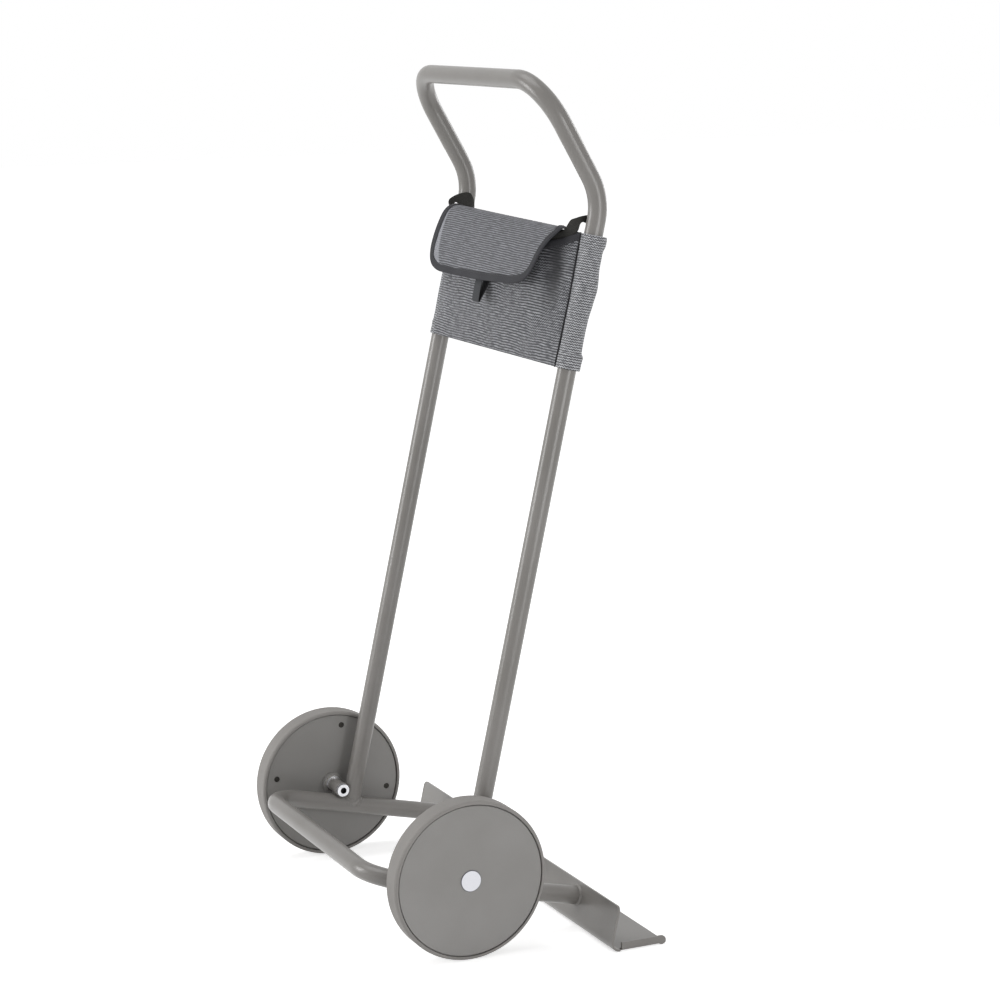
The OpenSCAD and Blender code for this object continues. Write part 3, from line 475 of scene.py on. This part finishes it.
dark_tape = tape_material("dark grey grosgrain tape", "#2d2d30", "#3f3f43")
down = (leaned(0, 0, -1) - leaned(0, 0, 0)).normalized()
backward = (leaned(0, 1, 0) - leaned(0, 0, 0)).normalized()
edge = [leaned(SEAM_X * (1 - 2 * j / BACK_COLS), BACK_OUT - CLOTH / 2, BAG_TOP - 0.6)
        for j in range(BACK_COLS + 1)]
count = len(edge)
back_tape = tape_over("back_tape", edge, [down] * count, [backward] * count, [BINDING_W] * count, "frame")
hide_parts("back_binding")


# The two sleeves: a strip of the same mesh wrapped loosely round each upright, both edges sewn
# into the bag's side seam, with a turned and stitched hem at the top and at the bottom. The
# seam bows a little towards the upright, and the slack stands off in front of the tube.
HEM_LOW, HEM_HIGH = 20, 162
SEAM_TURN = math.radians(-31)
SEAM_BOW, SEAM_SINK = 1.5, 0.8
# how far the mesh stands off in front of the tube, at heights from the lower edge
SLEEVE_OFF = (
    (0, 4.6), (18, 5.6), (20.5, 4.6), (22.5, 2.3), (45, 1.9), (67, 2.2), (90, 5.4), (109, 7.6),
    (122, 6.2), (133, 4.6), (152, 4.3), (159, 4.6), (162.5, 6.2), (170, 7), (177, 6.6),
)
SLEEVE_HEIGHTS = (
    0, 0.8, 3, 8, 14, 18, 19.6, 20.6, 22, 25, 32, 42, 52, 62, 72, 82, 92, 101, 109, 116, 123, 130,
    138, 146, 153, 158, 160.6, 162, 163.4, 167, 171.5, 175, 176.4, 177,
)
SLEEVE_COLS = 32


def between_stops(stops, at):
    """Value at a place between stops, eased at each of them."""
    for (a, low), (b, high) in zip(stops, stops[1:]):
        if at <= b:
            t = (1 - math.cos(math.pi * max(0, at - a) / (b - a))) / 2
            return low + (high - low) * t
    return stops[-1][1]


def kept_in(value):
    """The value, kept between 0 and 1."""
    return min(1, max(0, value))


def seam_bow(up):
    """Share of the seam's bow at a height: none at the ends, all of it in the middle."""
    return math.sin(math.pi * kept_in((up - BAG_LOW) / (BAG_TOP - BAG_LOW)))


def round_upright(front, beside, behind, turn):
    """Radius at a turn round the upright, from what it is in front, beside and behind it."""
    c = math.cos(turn)
    return beside + (front - beside) * max(0, -c) ** 1.6 + (behind - beside) * max(0, c) ** 1.6


def sleeve_rows(side):
    """Rows of points round an upright from its lower hem to its top hem."""
    rows = []
    for h in SLEEVE_HEIGHTS:
        hem = 1 if h <= HEM_LOW or h >= HEM_HIGH else 0
        front = TUBE_R + between_stops(SLEEVE_OFF, h) - CLOTH / 2
        beside = TUBE_R + 1.9 + 0.8 * hem + 0.4 * math.sin(h / 13 + 1)
        behind = TUBE_R + 1.3 + 0.7 * hem
        ripple = 0.22 * math.sin(h / 1.9) + 0.2 * math.sin(h / 3.3 + 1)
        bow = seam_bow(BAG_LOW + h)
        row = []
        for k in range(SLEEVE_COLS):
            a = SEAM_TURN + 2 * math.pi * k / SLEEVE_COLS
            near_seam = max(0, 1 - min(k, SLEEVE_COLS - k) / 3.6) ** 1.4
            r = round_upright(front, beside, behind, a)
            r += ripple * (1 - near_seam) * (0.4 + 0.6 * max(0, math.sin(a + h / 40)))
            x = UPRIGHT_X + r * math.sin(a)
            back = r * math.cos(a)
            x += (SEAM_X + 0.3 + SEAM_BOW * bow - x) * near_seam
            back += (BACK_OUT - 0.2 - SEAM_SINK * bow - back) * near_seam
            row.append(leaned(side * x, back, BAG_LOW + h))
        rows.append(row if side > 0 else row[::-1])
    return rows


# Grey-black polyester thread, two plies twisted 1.05 mm apart. The wave texture repeats every
# pi / 10 at scale 1.
TWIST_W = 1.047
thread = new_material("grey-black polyester thread")
here = {"Vector": add(thread, "TexCoord").outputs["Object"]}
twist = add(thread, "TexWave", {"Scale": 100 * math.pi / TWIST_W, "Distortion": 2}, here)
tint = add(thread, "ValToRGB", links={"Fac": twist.outputs["Fac"]})
set_stops(tint, [(0.2, "#2c2c2e"), (0.8, "#5b5b5f")])
surface(thread, {"Roughness": 0.6, "IOR": 1.5}, {"Base Color": tint.outputs["Color"]})


def stitches(name, line, outward, body, length=2.6, pitch=3.4, thick=0.55, sides=5):
    """A row of lock stitches: small spindles of thread along a line, pressed into the cloth."""
    verts, faces, start = [], [], 0
    for a, b, m in zip(line, line[1:], outward):
        reach = (b - a).length * 1000
        if reach < 1e-6:
            continue
        ahead = (b - a).normalized()
        aside = ahead.cross(m).normalized()
        at = start
        while at < reach:
            middle = a + ahead * at / 1000
            first = len(verts)
            verts.append(middle - ahead * length / 2000)
            for end in (-0.25, 0.25):
                for k in range(sides):
                    turn = 2 * math.pi * k / sides
                    off = (aside * math.cos(turn) + m * math.sin(turn)) * thick / 2
                    verts.append(middle + (ahead * end * length + off) / 1000)
            verts.append(middle + ahead * length / 2000)
            low, high = first + 1, first + 1 + sides
            for k in range(sides):
                n = (k + 1) % sides
                faces += [(first, low + n, low + k), (low + k, low + n, high + n, high + k),
                          (high + sides, high + k, high + n)]
            at += pitch
        start = at - reach
    mesh = bpy.data.meshes.new(name)
    mesh.from_pydata(verts, [], faces)
    for face in mesh.polygons:
        face.use_smooth = True
    piece = bpy.data.objects.new(name, mesh)
    bpy.context.scene.collection.objects.link(piece)
    outward_faces(mesh)
    piece.data.materials.append(thread)
    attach(piece, body)


def outward_faces(mesh, close_sides=0):
    """Turns a mesh's faces outwards, and closes its round ends where they have close_sides."""
    bm = bmesh.new()
    bm.from_mesh(mesh)
    if close_sides:
        open_edges = [e for e in bm.edges if len(e.link_faces) == 1]
        bmesh.ops.holes_fill(bm, edges=open_edges, sides=close_sides)
    bmesh.ops.recalc_face_normals(bm, faces=bm.faces)
    bm.to_mesh(mesh)
    bm.free()


sleeve_mesh = coated_mesh("mottled grey coated mesh of the sleeves",
                          [(0.15, "#2a2b2c"), (0.5, "#7c7d81"), (0.85, "#cdced2")],
                          rib=3.4, wave=3.6, wavy=0.75, patchy=0.3, contrast=0.48, streak=9)
for side, word in ((1, "right"), (-1, "left")):
    sleeve = sheet_through(word + "_sleeve", sleeve_rows(side), closed=True)
    sleeve.data.materials.append(sleeve_mesh)
    thicken(sleeve, CLOTH)
    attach(sleeve, "frame")
    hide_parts(word + "_bag_sleeve")
    # a row of stitches round each hem, from one side of the seam to the other
    for height, where in ((17, "low"), (165, "high")):
        beside = TUBE_R + 2.6
        front = TUBE_R + between_stops(SLEEVE_OFF, height)
        centre = leaned(side * UPRIGHT_X, 0, BAG_LOW + height)
        line = []
        for k in range(2, SLEEVE_COLS - 1):
            a = SEAM_TURN + 2 * math.pi * k / SLEEVE_COLS
            r = round_upright(front, beside, beside, a) + 0.75
            line.append(leaned(side * (UPRIGHT_X + r * math.sin(a)), r * math.cos(a), BAG_LOW + height))
        outward = [(p - centre).normalized() for p in line]
        stitches(word + "_sleeve_stitches_" + where, line, outward, "frame")


# The pocket: a wider panel of the mesh sewn to the back panel along both side seams and the
# lower edge, so that it stands out like a pouch and its mouth dips in the middle. A valley
# runs down beside each seam from the corners of the mouth.
POCKET_DEPTH, MOUTH_DIP = 37, 28
MOUTH = BAG_TOP - MOUTH_DIP
PUCKER, PUCKER_BAND, DRAPE = 0.6, 22, 1.1
VALLEY, VALLEY_X, VALLEY_W = 9, 176, 13
POCKET_ROWS, POCKET_COLS = 30, 64
# across the cloth in metres: its middle, how far in from its edge the painted shade lies, and how widely
CLOTH_MIDDLE, SHADE_IN, SHADE_W = 0.21, 0.031, 0.024


def pocket_back(x, up):
    """How far behind the uprights the pocket's inner face lies."""
    across = 1 - (abs(x) / SEAM_X) ** 5
    upward = 1 - max(0, 1 - (up - BAG_LOW) / (MOUTH - BAG_LOW)) ** 1.7
    return BACK_OUT + POCKET_DEPTH * across * upward


def mouth_height(x):
    """Height of the mouth's edge, which dips between the seams."""
    return MOUTH + MOUTH_DIP * (abs(x) / SEAM_X) ** 5


def pocket_fold(x, up):
    """Small folds: puckers along the seams, soft drapes, and the valley beside each seam."""
    t = (up - BAG_LOW) / (MOUTH - BAG_LOW)
    edge = max(0, 1 - (SEAM_X - abs(x)) / PUCKER_BAND)
    pucker = PUCKER * math.sin(up / 3.4 + x / 40) * edge * (1 - edge) * 4
    drape = DRAPE * math.sin(math.pi * kept_in(t)) * math.sin((x + 55 * t) / 31)
    high = kept_in(1.6 * t - 0.3) * (1 - 0.7 * kept_in((t - 0.8) / 0.2))
    valley = VALLEY * math.exp(-((abs(x) - VALLEY_X + 12 * (1 - t)) / VALLEY_W) ** 2) * high
    return pucker + drape * (1 - edge) - valley


def pocket_middle(x, up):
    """How far behind the uprights the middle of the pocket's cloth lies."""
    return pocket_back(x, up) + CLOTH / 2 + pocket_fold(x, up)


def pocket_point(x, up, raised=0):
    """A point on the pocket's cloth; its side edges follow the bow of the seam."""
    bow = seam_bow(up) * (abs(x) / SEAM_X) ** 9
    return leaned(x + math.copysign(SEAM_BOW * bow, x), pocket_middle(x, up) + raised - SEAM_SINK * bow, up)


def pocket_x(j):
    """Place across the pocket of column j; the columns lie closer near the seams."""
    return SEAM_X * math.sin(math.pi / 2 * (1 - 2 * j / POCKET_COLS))


rows = []
for i in range(POCKET_ROWS + 1):
    row = []
    for j in range(POCKET_COLS + 1):
        x = pocket_x(j)
        row.append(pocket_point(x, BAG_LOW + (mouth_height(x) - 2 - BAG_LOW) * i / POCKET_ROWS))
    rows.append(row)
pocket_cloth = sheet_through("pocket_cloth", rows, level=True)
pocket_cloth.data.materials.append(coated_mesh(
    "mottled grey coated mesh of the pocket", PANEL_STOPS, rib=3.6, patchy=1,
    shaded_band_at=(CLOTH_MIDDLE, CLOTH_MIDDLE - SHADE_IN, SHADE_W)))
thicken(pocket_cloth, CLOTH)
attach(pocket_cloth, "frame")
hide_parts("bag_front_panel")

# the mouth's tape, with a row of lock stitches near its sewn edge
STITCH_IN, STITCH_OUT = 8, 1.3


def tape_stitches(name, edge, inward, outward, body, skip=0):
    """Stitches along a tape, on its outer face; skip leaves out that many points at each end."""
    line = [p + (n * STITCH_IN + m * STITCH_OUT) / 1000 for p, n, m in zip(edge, inward, outward)]
    stitches(name, line[skip : len(line) - skip], outward[skip : len(line) - skip], body)


edge, inward, outward = [], [], []
for j in range(POCKET_COLS + 1):
    x = pocket_x(j)
    up = mouth_height(x)
    point = pocket_point(x, up)
    n = (pocket_point(x, up - 5) - point).normalized()
    edge.append(point)
    inward.append(n)
    outward.append((pocket_point(x - 0.5, up) - point).cross(n).normalized())
mouth_tape = tape_over("mouth_tape", edge, inward, outward, [BINDING_W] * len(edge), "frame")
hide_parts("mouth_binding")
tape_stitches("mouth_stitches", edge, inward, outward, "frame", skip=2)


# Piping along the two side seams: a thin cord in dark tape, caught in the seam between pocket
# and sleeve. The right one stands up in the seam, the left one is turned under the pocket.
PIPING_R, PIPING_ROWS = 1.35, 30


def cord_through(name, centres, radius, sides=10):
    """Closed round cord along a line of points; its radius is in mm."""
    rows = []
    for k, c in enumerate(centres):
        ahead = (centres[min(k + 1, len(centres) - 1)] - centres[max(k - 1, 0)]).normalized()
        third = ahead.cross(Vector((1, 0, 0))).normalized()
        aside = third.cross(ahead)
        r = radius / 1000 * (0.35 if k in (0, len(centres) - 1) else 1)
        row = []
        for s in range(sides):
            a = -2 * math.pi * s / sides
            row.append(c + (aside * math.cos(a) + third * math.sin(a)) * r)
        rows.append(row)
    piece = sheet_through(name, rows, closed=True)
    outward_faces(piece.data, close_sides=sides)
    smooth(piece)
    return piece


black_cord = tape_material("black piping tape", "#18181a", "#2a2a2d")
for side, word, out, back in ((1, "right", 0.6, 1.2), (-1, "left", -1.4, -0.9)):
    line = []
    for k in range(PIPING_ROWS + 1):
        up = BAG_LOW - 1.2 + (BAG_TOP + 1 - BAG_LOW) * k / PIPING_ROWS
        x = SEAM_X + out + SEAM_BOW * seam_bow(up) + 0.3 * math.sin(k / 2.1)
        line.append(leaned(side * x, BACK_OUT + back - SEAM_SINK * seam_bow(up), up))
    piping = cord_through(word + "_piping", line, PIPING_R)
    piping.data.materials.append(black_cord)
    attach(piping, "frame")
    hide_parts("seam_piping")


# Hanger straps: black polypropylene webbing sewn inside each corner of the mouth. It rises out
# of the corner, folds over towards the upright and goes round it into the sleeve's top, where
# it keeps the bag from sliding down. The left strap stands up a little more than the right.
WEBBING_T, WEBBING_COLS, STRAP_GAP = 1.2, 4, 0.3
black_webbing = tape_material("black polypropylene webbing", "#252524", "#403f3c", rib=1.4)


def flat_row(a, b):
    """Row straight across the strap, from one (across, back, up) to another."""
    return [Vector(a).lerp(Vector(b), k / WEBBING_COLS) for k in range(WEBBING_COLS + 1)]


def corner_row(high, low):
    """Row inside the mouth's corner, against the pocket's cloth; high and low are (across, up)."""
    return flat_row(*((x, pocket_middle(x, up) - 1.3 * WEBBING_T, up) for x, up in (high, low)))


def round_row(a, b):
    """Row round the upright, from (turn, up) to (turn, up): turn 0 faces the trolley's middle."""
    r = TUBE_R + STRAP_GAP + WEBBING_T / 2
    row = []
    for k in range(WEBBING_COLS + 1):
        turn, up = (a[n] + (b[n] - a[n]) * k / WEBBING_COLS for n in (0, 1))
        turn = math.radians(turn)
        row.append(Vector((UPRIGHT_X - r * math.cos(turn), -r * math.sin(turn), up)))
    return row


for side, word, risen in (
    (1, "right", [
        flat_row((184.5, 29.5, 880.5), (194.5, 16.5, 875)),
        flat_row((188.5, 28.7, 887.5), (194.7, 15.8, 880)),
        flat_row((190, 26.7, 890.5), (194.6, 15.6, 883.5)),
        flat_row((191.5, 23, 892), (194.4, 15.2, 886)),
        flat_row((193, 16, 896.5), (194, 12, 890.5)),
        round_row((-16, 900.5), (-16, 886)),
        round_row((4, 903), (6, 888)),
        round_row((24, 902), (20, 887)),
        round_row((46, 897.5), (32, 883.5)),
        round_row((69, 890), (42, 876)),
    ]),
    (-1, "left", [
        flat_row((184.5, 36.5, 882), (194.5, 23.5, 875)),
        flat_row((188.5, 35.7, 888), (194.7, 22.8, 881)),
        flat_row((190, 33.7, 891), (194.6, 22.6, 885)),
        flat_row((191.5, 30, 894), (194.4, 22.2, 888.5)),
        flat_row((193, 19.5, 901.5), (194, 15.5, 886)),
        round_row((-18, 906), (-16, 880)),
        round_row((0, 904), (6, 880)),
        round_row((24, 898.5), (20, 878)),
        round_row((46, 891), (32, 876)),
        round_row((69, 884), (42, 872)),
    ]),
):
    rows = [
        corner_row((150, 860), (158, 848)),
        corner_row((162, 866), (170, 854)),
        corner_row((177, 875), (185, 863)),
        *risen,
        round_row((92, 878.6), (48, 868.1)),
        round_row((105, 870.1), (50, 865)),
        round_row((106, 858.9), (50, 858.9)),
    ]
    # the strap's length runs across its columns, so that the ribs of the webbing cross it
    columns = [[leaned(side * row[k].x, row[k].y, row[k].z) for row in rows]
               for k in range(WEBBING_COLS + 1)]
    strap = sheet_through(word + "_strap", columns)
    strap.data.materials.append(black_webbing)
    thicken(strap, WEBBING_T, levels=2)
    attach(strap, "frame")
    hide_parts(word + "_hanger_strap")


# The flap: mesh sewn to the back panel's upper edge, falling over the mouth in a soft fold. Its
# sides draw in over the fold, its lower corners are rounded, and its right side has slipped
# up a little, so that the lower edge rises to the right.
HINGE_UP = BAG_TOP + 1.4
FLAP_COLS, FLAP_SAG = 40, 2
# both side edges in mm as (across, back, up), from the hinge seam down to the lower edge
FLAP_RIGHT = (
    (166, BACK_OUT, HINGE_UP), (168.5, 19, 877.6), (173, 26, 878), (180, 33, 876.5),
    (184, 39, 872.2), (183, 43, 867), (179.5, 46, 861.5), (175.5, 48.8, 855), (170.8, 52, 845),
    (168.5, 54.2, 835.5), (167, 55.8, 827), (164.3, 57.2, 818.7), (159.3, 58.2, 810.3),
    (153, 59, 804), (145, 59.6, 799.6), (135.5, 60.2, 796.7), (124.5, 60.6, 794.6),
    (111, 61, 793.2),
)
FLAP_LEFT = (
    (-166, BACK_OUT, HINGE_UP), (-168, 18, 881), (-170, 25, 884.6), (-171, 34, 884.6),
    (-171.5, 42, 879.5), (-171.5, 46.5, 872), (-170.5, 49, 865.5), (-170, 51, 858.5),
    (-169.5, 53.3, 848.5), (-169, 54.8, 839.5), (-168.5, 55.8, 831.5), (-167.5, 56.8, 823.5),
    (-165.5, 57.3, 815), (-162, 57.8, 807), (-156.5, 58.3, 800.2), (-148, 58.8, 794.6),
    (-137, 59.1, 790.8), (-123.5, 59.4, 789),
)
LAST = len(FLAP_RIGHT) - 1


def flap_wave(x, up):
    """The flap isn't quite flat: a shallow wave across it, strongest at its lower edge."""
    t = kept_in((BAG_TOP - up) / 85)
    return 0.9 * math.sin(x / 37 + 0.6) * t + 0.5 * math.sin(x / 9.3) * t ** 3


def flap_middle(i, u):
    """Point in the flap's cloth in mm: row i from the hinge seam down, u from 0 at its right
    edge to 1 at its left."""
    (x, back, up), (left_x, left_back, left_up) = FLAP_RIGHT[i], FLAP_LEFT[i]
    x += (left_x - x) * u
    up += (left_up - up) * u - FLAP_SAG * 4 * u * (1 - u) * (i / LAST) ** 8
    return x, back + (left_back - back) * u + flap_wave(x, up), up


rows = [[leaned(*flap_middle(i, j / FLAP_COLS)) for j in range(FLAP_COLS + 1)]
        for i in range(LAST, -1, -1)]
flap_cloth = sheet_through("flap_cloth", rows)
flap_cloth.data.materials.append(coated_mesh(
    "mottled grey coated mesh of the flap", [(0.2, "#2f3033"), (0.5, "#5b5c61"), (0.8, "#919298")],
    rib=3.1, streak=24, pale_from=0.305))
thicken(flap_cloth, CLOTH)
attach(flap_cloth, "flap")
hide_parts("bag_flap")

# its tape runs down the right side, along the lower edge and up the left side
LOWER_COLS = 30
around = [(i, 0) for i in range(1, LAST)]
around += [(LAST, j / LOWER_COLS) for j in range(LOWER_COLS + 1)]
around += [(i, 1) for i in range(LAST - 1, 0, -1)]
edge = [leaned(*flap_middle(i, u)) for i, u in around]
inward, outward, widths = [], [], []
for k, (i, u) in enumerate(around):
    ahead = (edge[min(k + 1, len(edge) - 1)] - edge[max(k - 1, 0)]).normalized()
    upper, lower = flap_middle(max(i - 1, 0), 0.5), flap_middle(min(i + 1, LAST), 0.5)
    m = (leaned(0, upper[2] - lower[2], lower[1] - upper[1]) - leaned(0, 0, 0)).normalized()
    n = ahead.cross(m).normalized()
    if n.dot(leaned(*flap_middle(min(i, LAST - 5), 0.5)) - edge[k]) < 0:
        n = -n
    inward.append(n)
    outward.append(m)
    # the tape of the left side is laid a little wider
    widths.append(BINDING_W + 4 * kept_in((LAST - 3 - i) / 4) * u)
flap_tape = tape_over("flap_tape", edge, inward, outward, widths, "flap")
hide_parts("flap_binding")
tape_stitches("flap_stitches", edge, inward, outward, "flap")


# Pull tab: a loop of webbing sewn under the flap's lower edge; its rear leg hangs and its front
# leg runs back up towards the pocket.
TAB_W, TAB_X, TAB_BACK, TAB_LOW = 22, 11, 57.6, 758
# down the rear leg and up the front one, in mm: back from the rear leg, and up from the fold
TAB_LINE = (
    (-0.6, 38), (0, 30), (0.2, 20), (0, 10), (-0.2, 3.5), (-0.8, 1), (-2, 0.6), (-2.9, 2.4),
    (-4.9, 9), (-8, 18), (-10.6, 27), (-11.4, 33),
)
rows = []
for k in range(WEBBING_COLS + 1):
    x = TAB_X + TAB_W * (k / WEBBING_COLS - 0.5)
    rows.append([leaned(x, TAB_BACK + back, TAB_LOW + up) for back, up in TAB_LINE])
tab = sheet_through("pull_tab_webbing", rows)
tab.data.materials.append(tape_material("grey-black tab webbing", "#323335", "#48494c", rib=1.4))
thicken(tab, WEBBING_T, levels=2)
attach(tab, "flap")
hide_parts("pull_tab")


# Hook-and-loop closure: a hook strip sewn inside the flap and a loop strip on the pocket; both
# are hidden while the flap is down.
FASTENER_W, FASTENER_H, FASTENER_T = 90, 20, 1.6
FASTENER_LOW = MOUTH - BINDING_W - 3 - FASTENER_H
STRIP_ROWS, STRIP_COLS = 5, 12
# the first row of the flap's side edges that lies below its fold
FOLD_ROW = 5

# Black pile: matt, with a soft sheen, in tufts 1.1 mm apart, with painted shade between the tufts.
TUFT_W = 1.11
pile = new_material("black hook-and-loop pile")
uv = add(pile, "UVMap", {"uv_map": "cloth"})
tufts = add(pile, "TexVoronoi", {"Scale": 1000 / TUFT_W}, {"Vector": uv.outputs["UV"]})
# painted shade: lighter on each tuft's top, darker where the relief sinks between tufts
tint = add(pile, "ValToRGB", links={"Fac": tufts.outputs["Distance"]})
set_stops(tint, [(0.1, "#3c3d3e"), (0.8, "#1c1d1d")])
relief = add(pile, "Bump", {"Strength": 0.8, "Distance": 0.0006, "invert": True},
             {"Height": tufts.outputs["Distance"]})
surface(pile, {"Roughness": 0.95, "Sheen Weight": 0.3},
        {"Base Color": tint.outputs["Color"], "Normal": relief.outputs["Normal"]})


def flap_back(up):
    """How far behind the uprights the hanging part of the flap lies."""
    for (_, high_back, high), (_, low_back, low) in zip(FLAP_RIGHT[FOLD_ROW:], FLAP_RIGHT[FOLD_ROW + 1:]):
        if up >= low:
            return low_back + (high_back - low_back) * (up - low) / (high - low)
    return FLAP_RIGHT[-1][1]


def inside_flap(x, up):
    """A point in the middle of the hook strip, just inside the flap's cloth."""
    return leaned(x, flap_back(up) + flap_wave(x, up) - CLOTH / 2 - FASTENER_T / 2 - 0.15, up)


def on_pocket(x, up):
    """A point in the middle of the loop strip, on the pocket's cloth."""
    return pocket_point(x, up, CLOTH / 2 + FASTENER_T / 2)


for word, body, node, place_of in (("hook_strip", "flap", "flap_fastener", inside_flap),
                                   ("loop_strip", "frame", "pocket_fastener", on_pocket)):
    rows = []
    for i in range(STRIP_ROWS + 1):
        up = FASTENER_LOW + FASTENER_H * i / STRIP_ROWS
        rows.append([place_of(FASTENER_W * (0.5 - j / STRIP_COLS), up) for j in range(STRIP_COLS + 1)])
    strip = sheet_through(word, rows)
    strip.data.materials.append(pile)
    thicken(strip, FASTENER_T)
    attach(strip, body)
    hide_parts(node)


# The studio: a plain white floor, even soft light from above and from both sides with a faint
# one from in front, and the camera to the right of the trolley and behind it, a little above
# its handle.
def shows_white(material):
    """1 for what the camera, a reflection or clear glass sees, 0 for the light on things."""
    path = add(material, "LightPath")
    seen = add(material, "Math", {"operation": "MAXIMUM"},
               {0: path.outputs["Is Camera Ray"], 1: path.outputs["Is Glossy Ray"]})
    through = add(material, "Math", {"operation": "MAXIMUM"},
                  {0: seen.outputs[0], 1: path.outputs["Is Transmission Ray"]})
    return through.outputs[0]


FLOOR_SIZE = 24
bpy.ops.object.select_all(action="DESELECT")
bpy.ops.mesh.primitive_plane_add(size=FLOOR_SIZE, location=(-4, 3, 0))
floor = bpy.context.object
bpy.ops.object.transform_apply(location=True)
floor.name = "studio_floor"

# The floor takes shadows as a pale grey sheet would, and a share of plain white lies over it,
# more of it away from the trolley, where less lamp light falls.
NEAR, FAR = 0.9, 3.2
white_floor = new_material("white studio floor")
sheet = add(white_floor, "BsdfPrincipled", {"Base Color": linear("#efefef"), "Roughness": 0.9})
place = add(white_floor, "TexCoord")
away = add(white_floor, "VectorMath", {"operation": "LENGTH"}, {0: place.outputs["Object"]})
white = add(white_floor, "MapRange", {"From Min": NEAR, "From Max": FAR, "To Min": 0.62, "To Max": 0.78},
            {"Value": away.outputs["Value"]})
share = add(white_floor, "Math", {"operation": "MULTIPLY"},
            {0: shows_white(white_floor), 1: white.outputs["Result"]})
glow = add(white_floor, "Emission", {"Color": linear("#ffffff")}, {"Strength": share.outputs[0]})
both = add(white_floor, "AddShader", links={0: sheet.outputs["BSDF"], 1: glow.outputs["Emission"]})
add(white_floor, "OutputMaterial", links={"Surface": both.outputs[0]})
floor.data.materials.append(white_floor)

# White all round to the camera, and 0.3 of it as even light on the trolley.
AMBIENT = 0.3
studio = bpy.data.worlds.new("studio")
bpy.context.scene.world = studio
studio.use_nodes = True
studio.node_tree.nodes.clear()
level = add(studio, "MapRange", {"To Min": AMBIENT, "To Max": 1}, {"Value": shows_white(studio)})
backdrop = add(studio, "Background", {"Color": linear("#ffffff")}, {"Strength": level.outputs["Result"]})
add(studio, "OutputWorld", links={"Surface": backdrop.outputs[0]})


def soft_light(name, place, target, width, height, power):
    """A rectangular lamp at a place, turned to a target; metres and watts."""
    lamp = bpy.data.lights.new(name, "AREA")
    lamp.shape = "RECTANGLE"
    lamp.size, lamp.size_y = width, height
    lamp.energy = power
    holder = bpy.data.objects.new(name, lamp)
    bpy.context.scene.collection.objects.link(holder)
    holder.location = place
    holder.rotation_euler = (Vector(target) - Vector(place)).to_track_quat("-Z", "Y").to_euler()


soft_light("overhead_softbox", (-0.5, -1.1, 4.2), (0, 0, 0.5), 2.8, 2.8, 60)
soft_light("left_softbox", (-1.2, -3.0, 1.3), (0, 0, 0.6), 1.4, 1.4, 44)
soft_light("right_strip", (3.4, 0.55, 0.85), (0, 0, 0.55), 1.2, 1.6, 34)
soft_light("front_fill", (-1.4, 3.4, 1.5), (0, 0, 0.5), 1.6, 1.6, 26)

# The camera's lens in mm, its place in metres, and its turn, tilt and roll in degrees.
FOCAL, SENSOR_W = 97.72, 36
CAMERA_AT = (3.3581, -1.42702, 1.2545)
TURN, TILT, ROLL = (math.radians(angle) for angle in (65.47, 79.24, -0.82))
lens = bpy.data.cameras.new("camera")
lens.lens = FOCAL
lens.sensor_width = SENSOR_W
lens.clip_end = 50
camera = bpy.data.objects.new("camera", lens)
bpy.context.scene.collection.objects.link(camera)
camera.matrix_world = (
    Matrix.Translation(CAMERA_AT)
    @ Matrix.Rotation(TURN, 4, "Z")
    @ Matrix.Rotation(TILT, 4, "X")
    @ Matrix.Rotation(ROLL, 4, "Z")
)
bpy.context.scene.camera = camera
bpy.context.scene.view_settings.view_transform = "Standard"
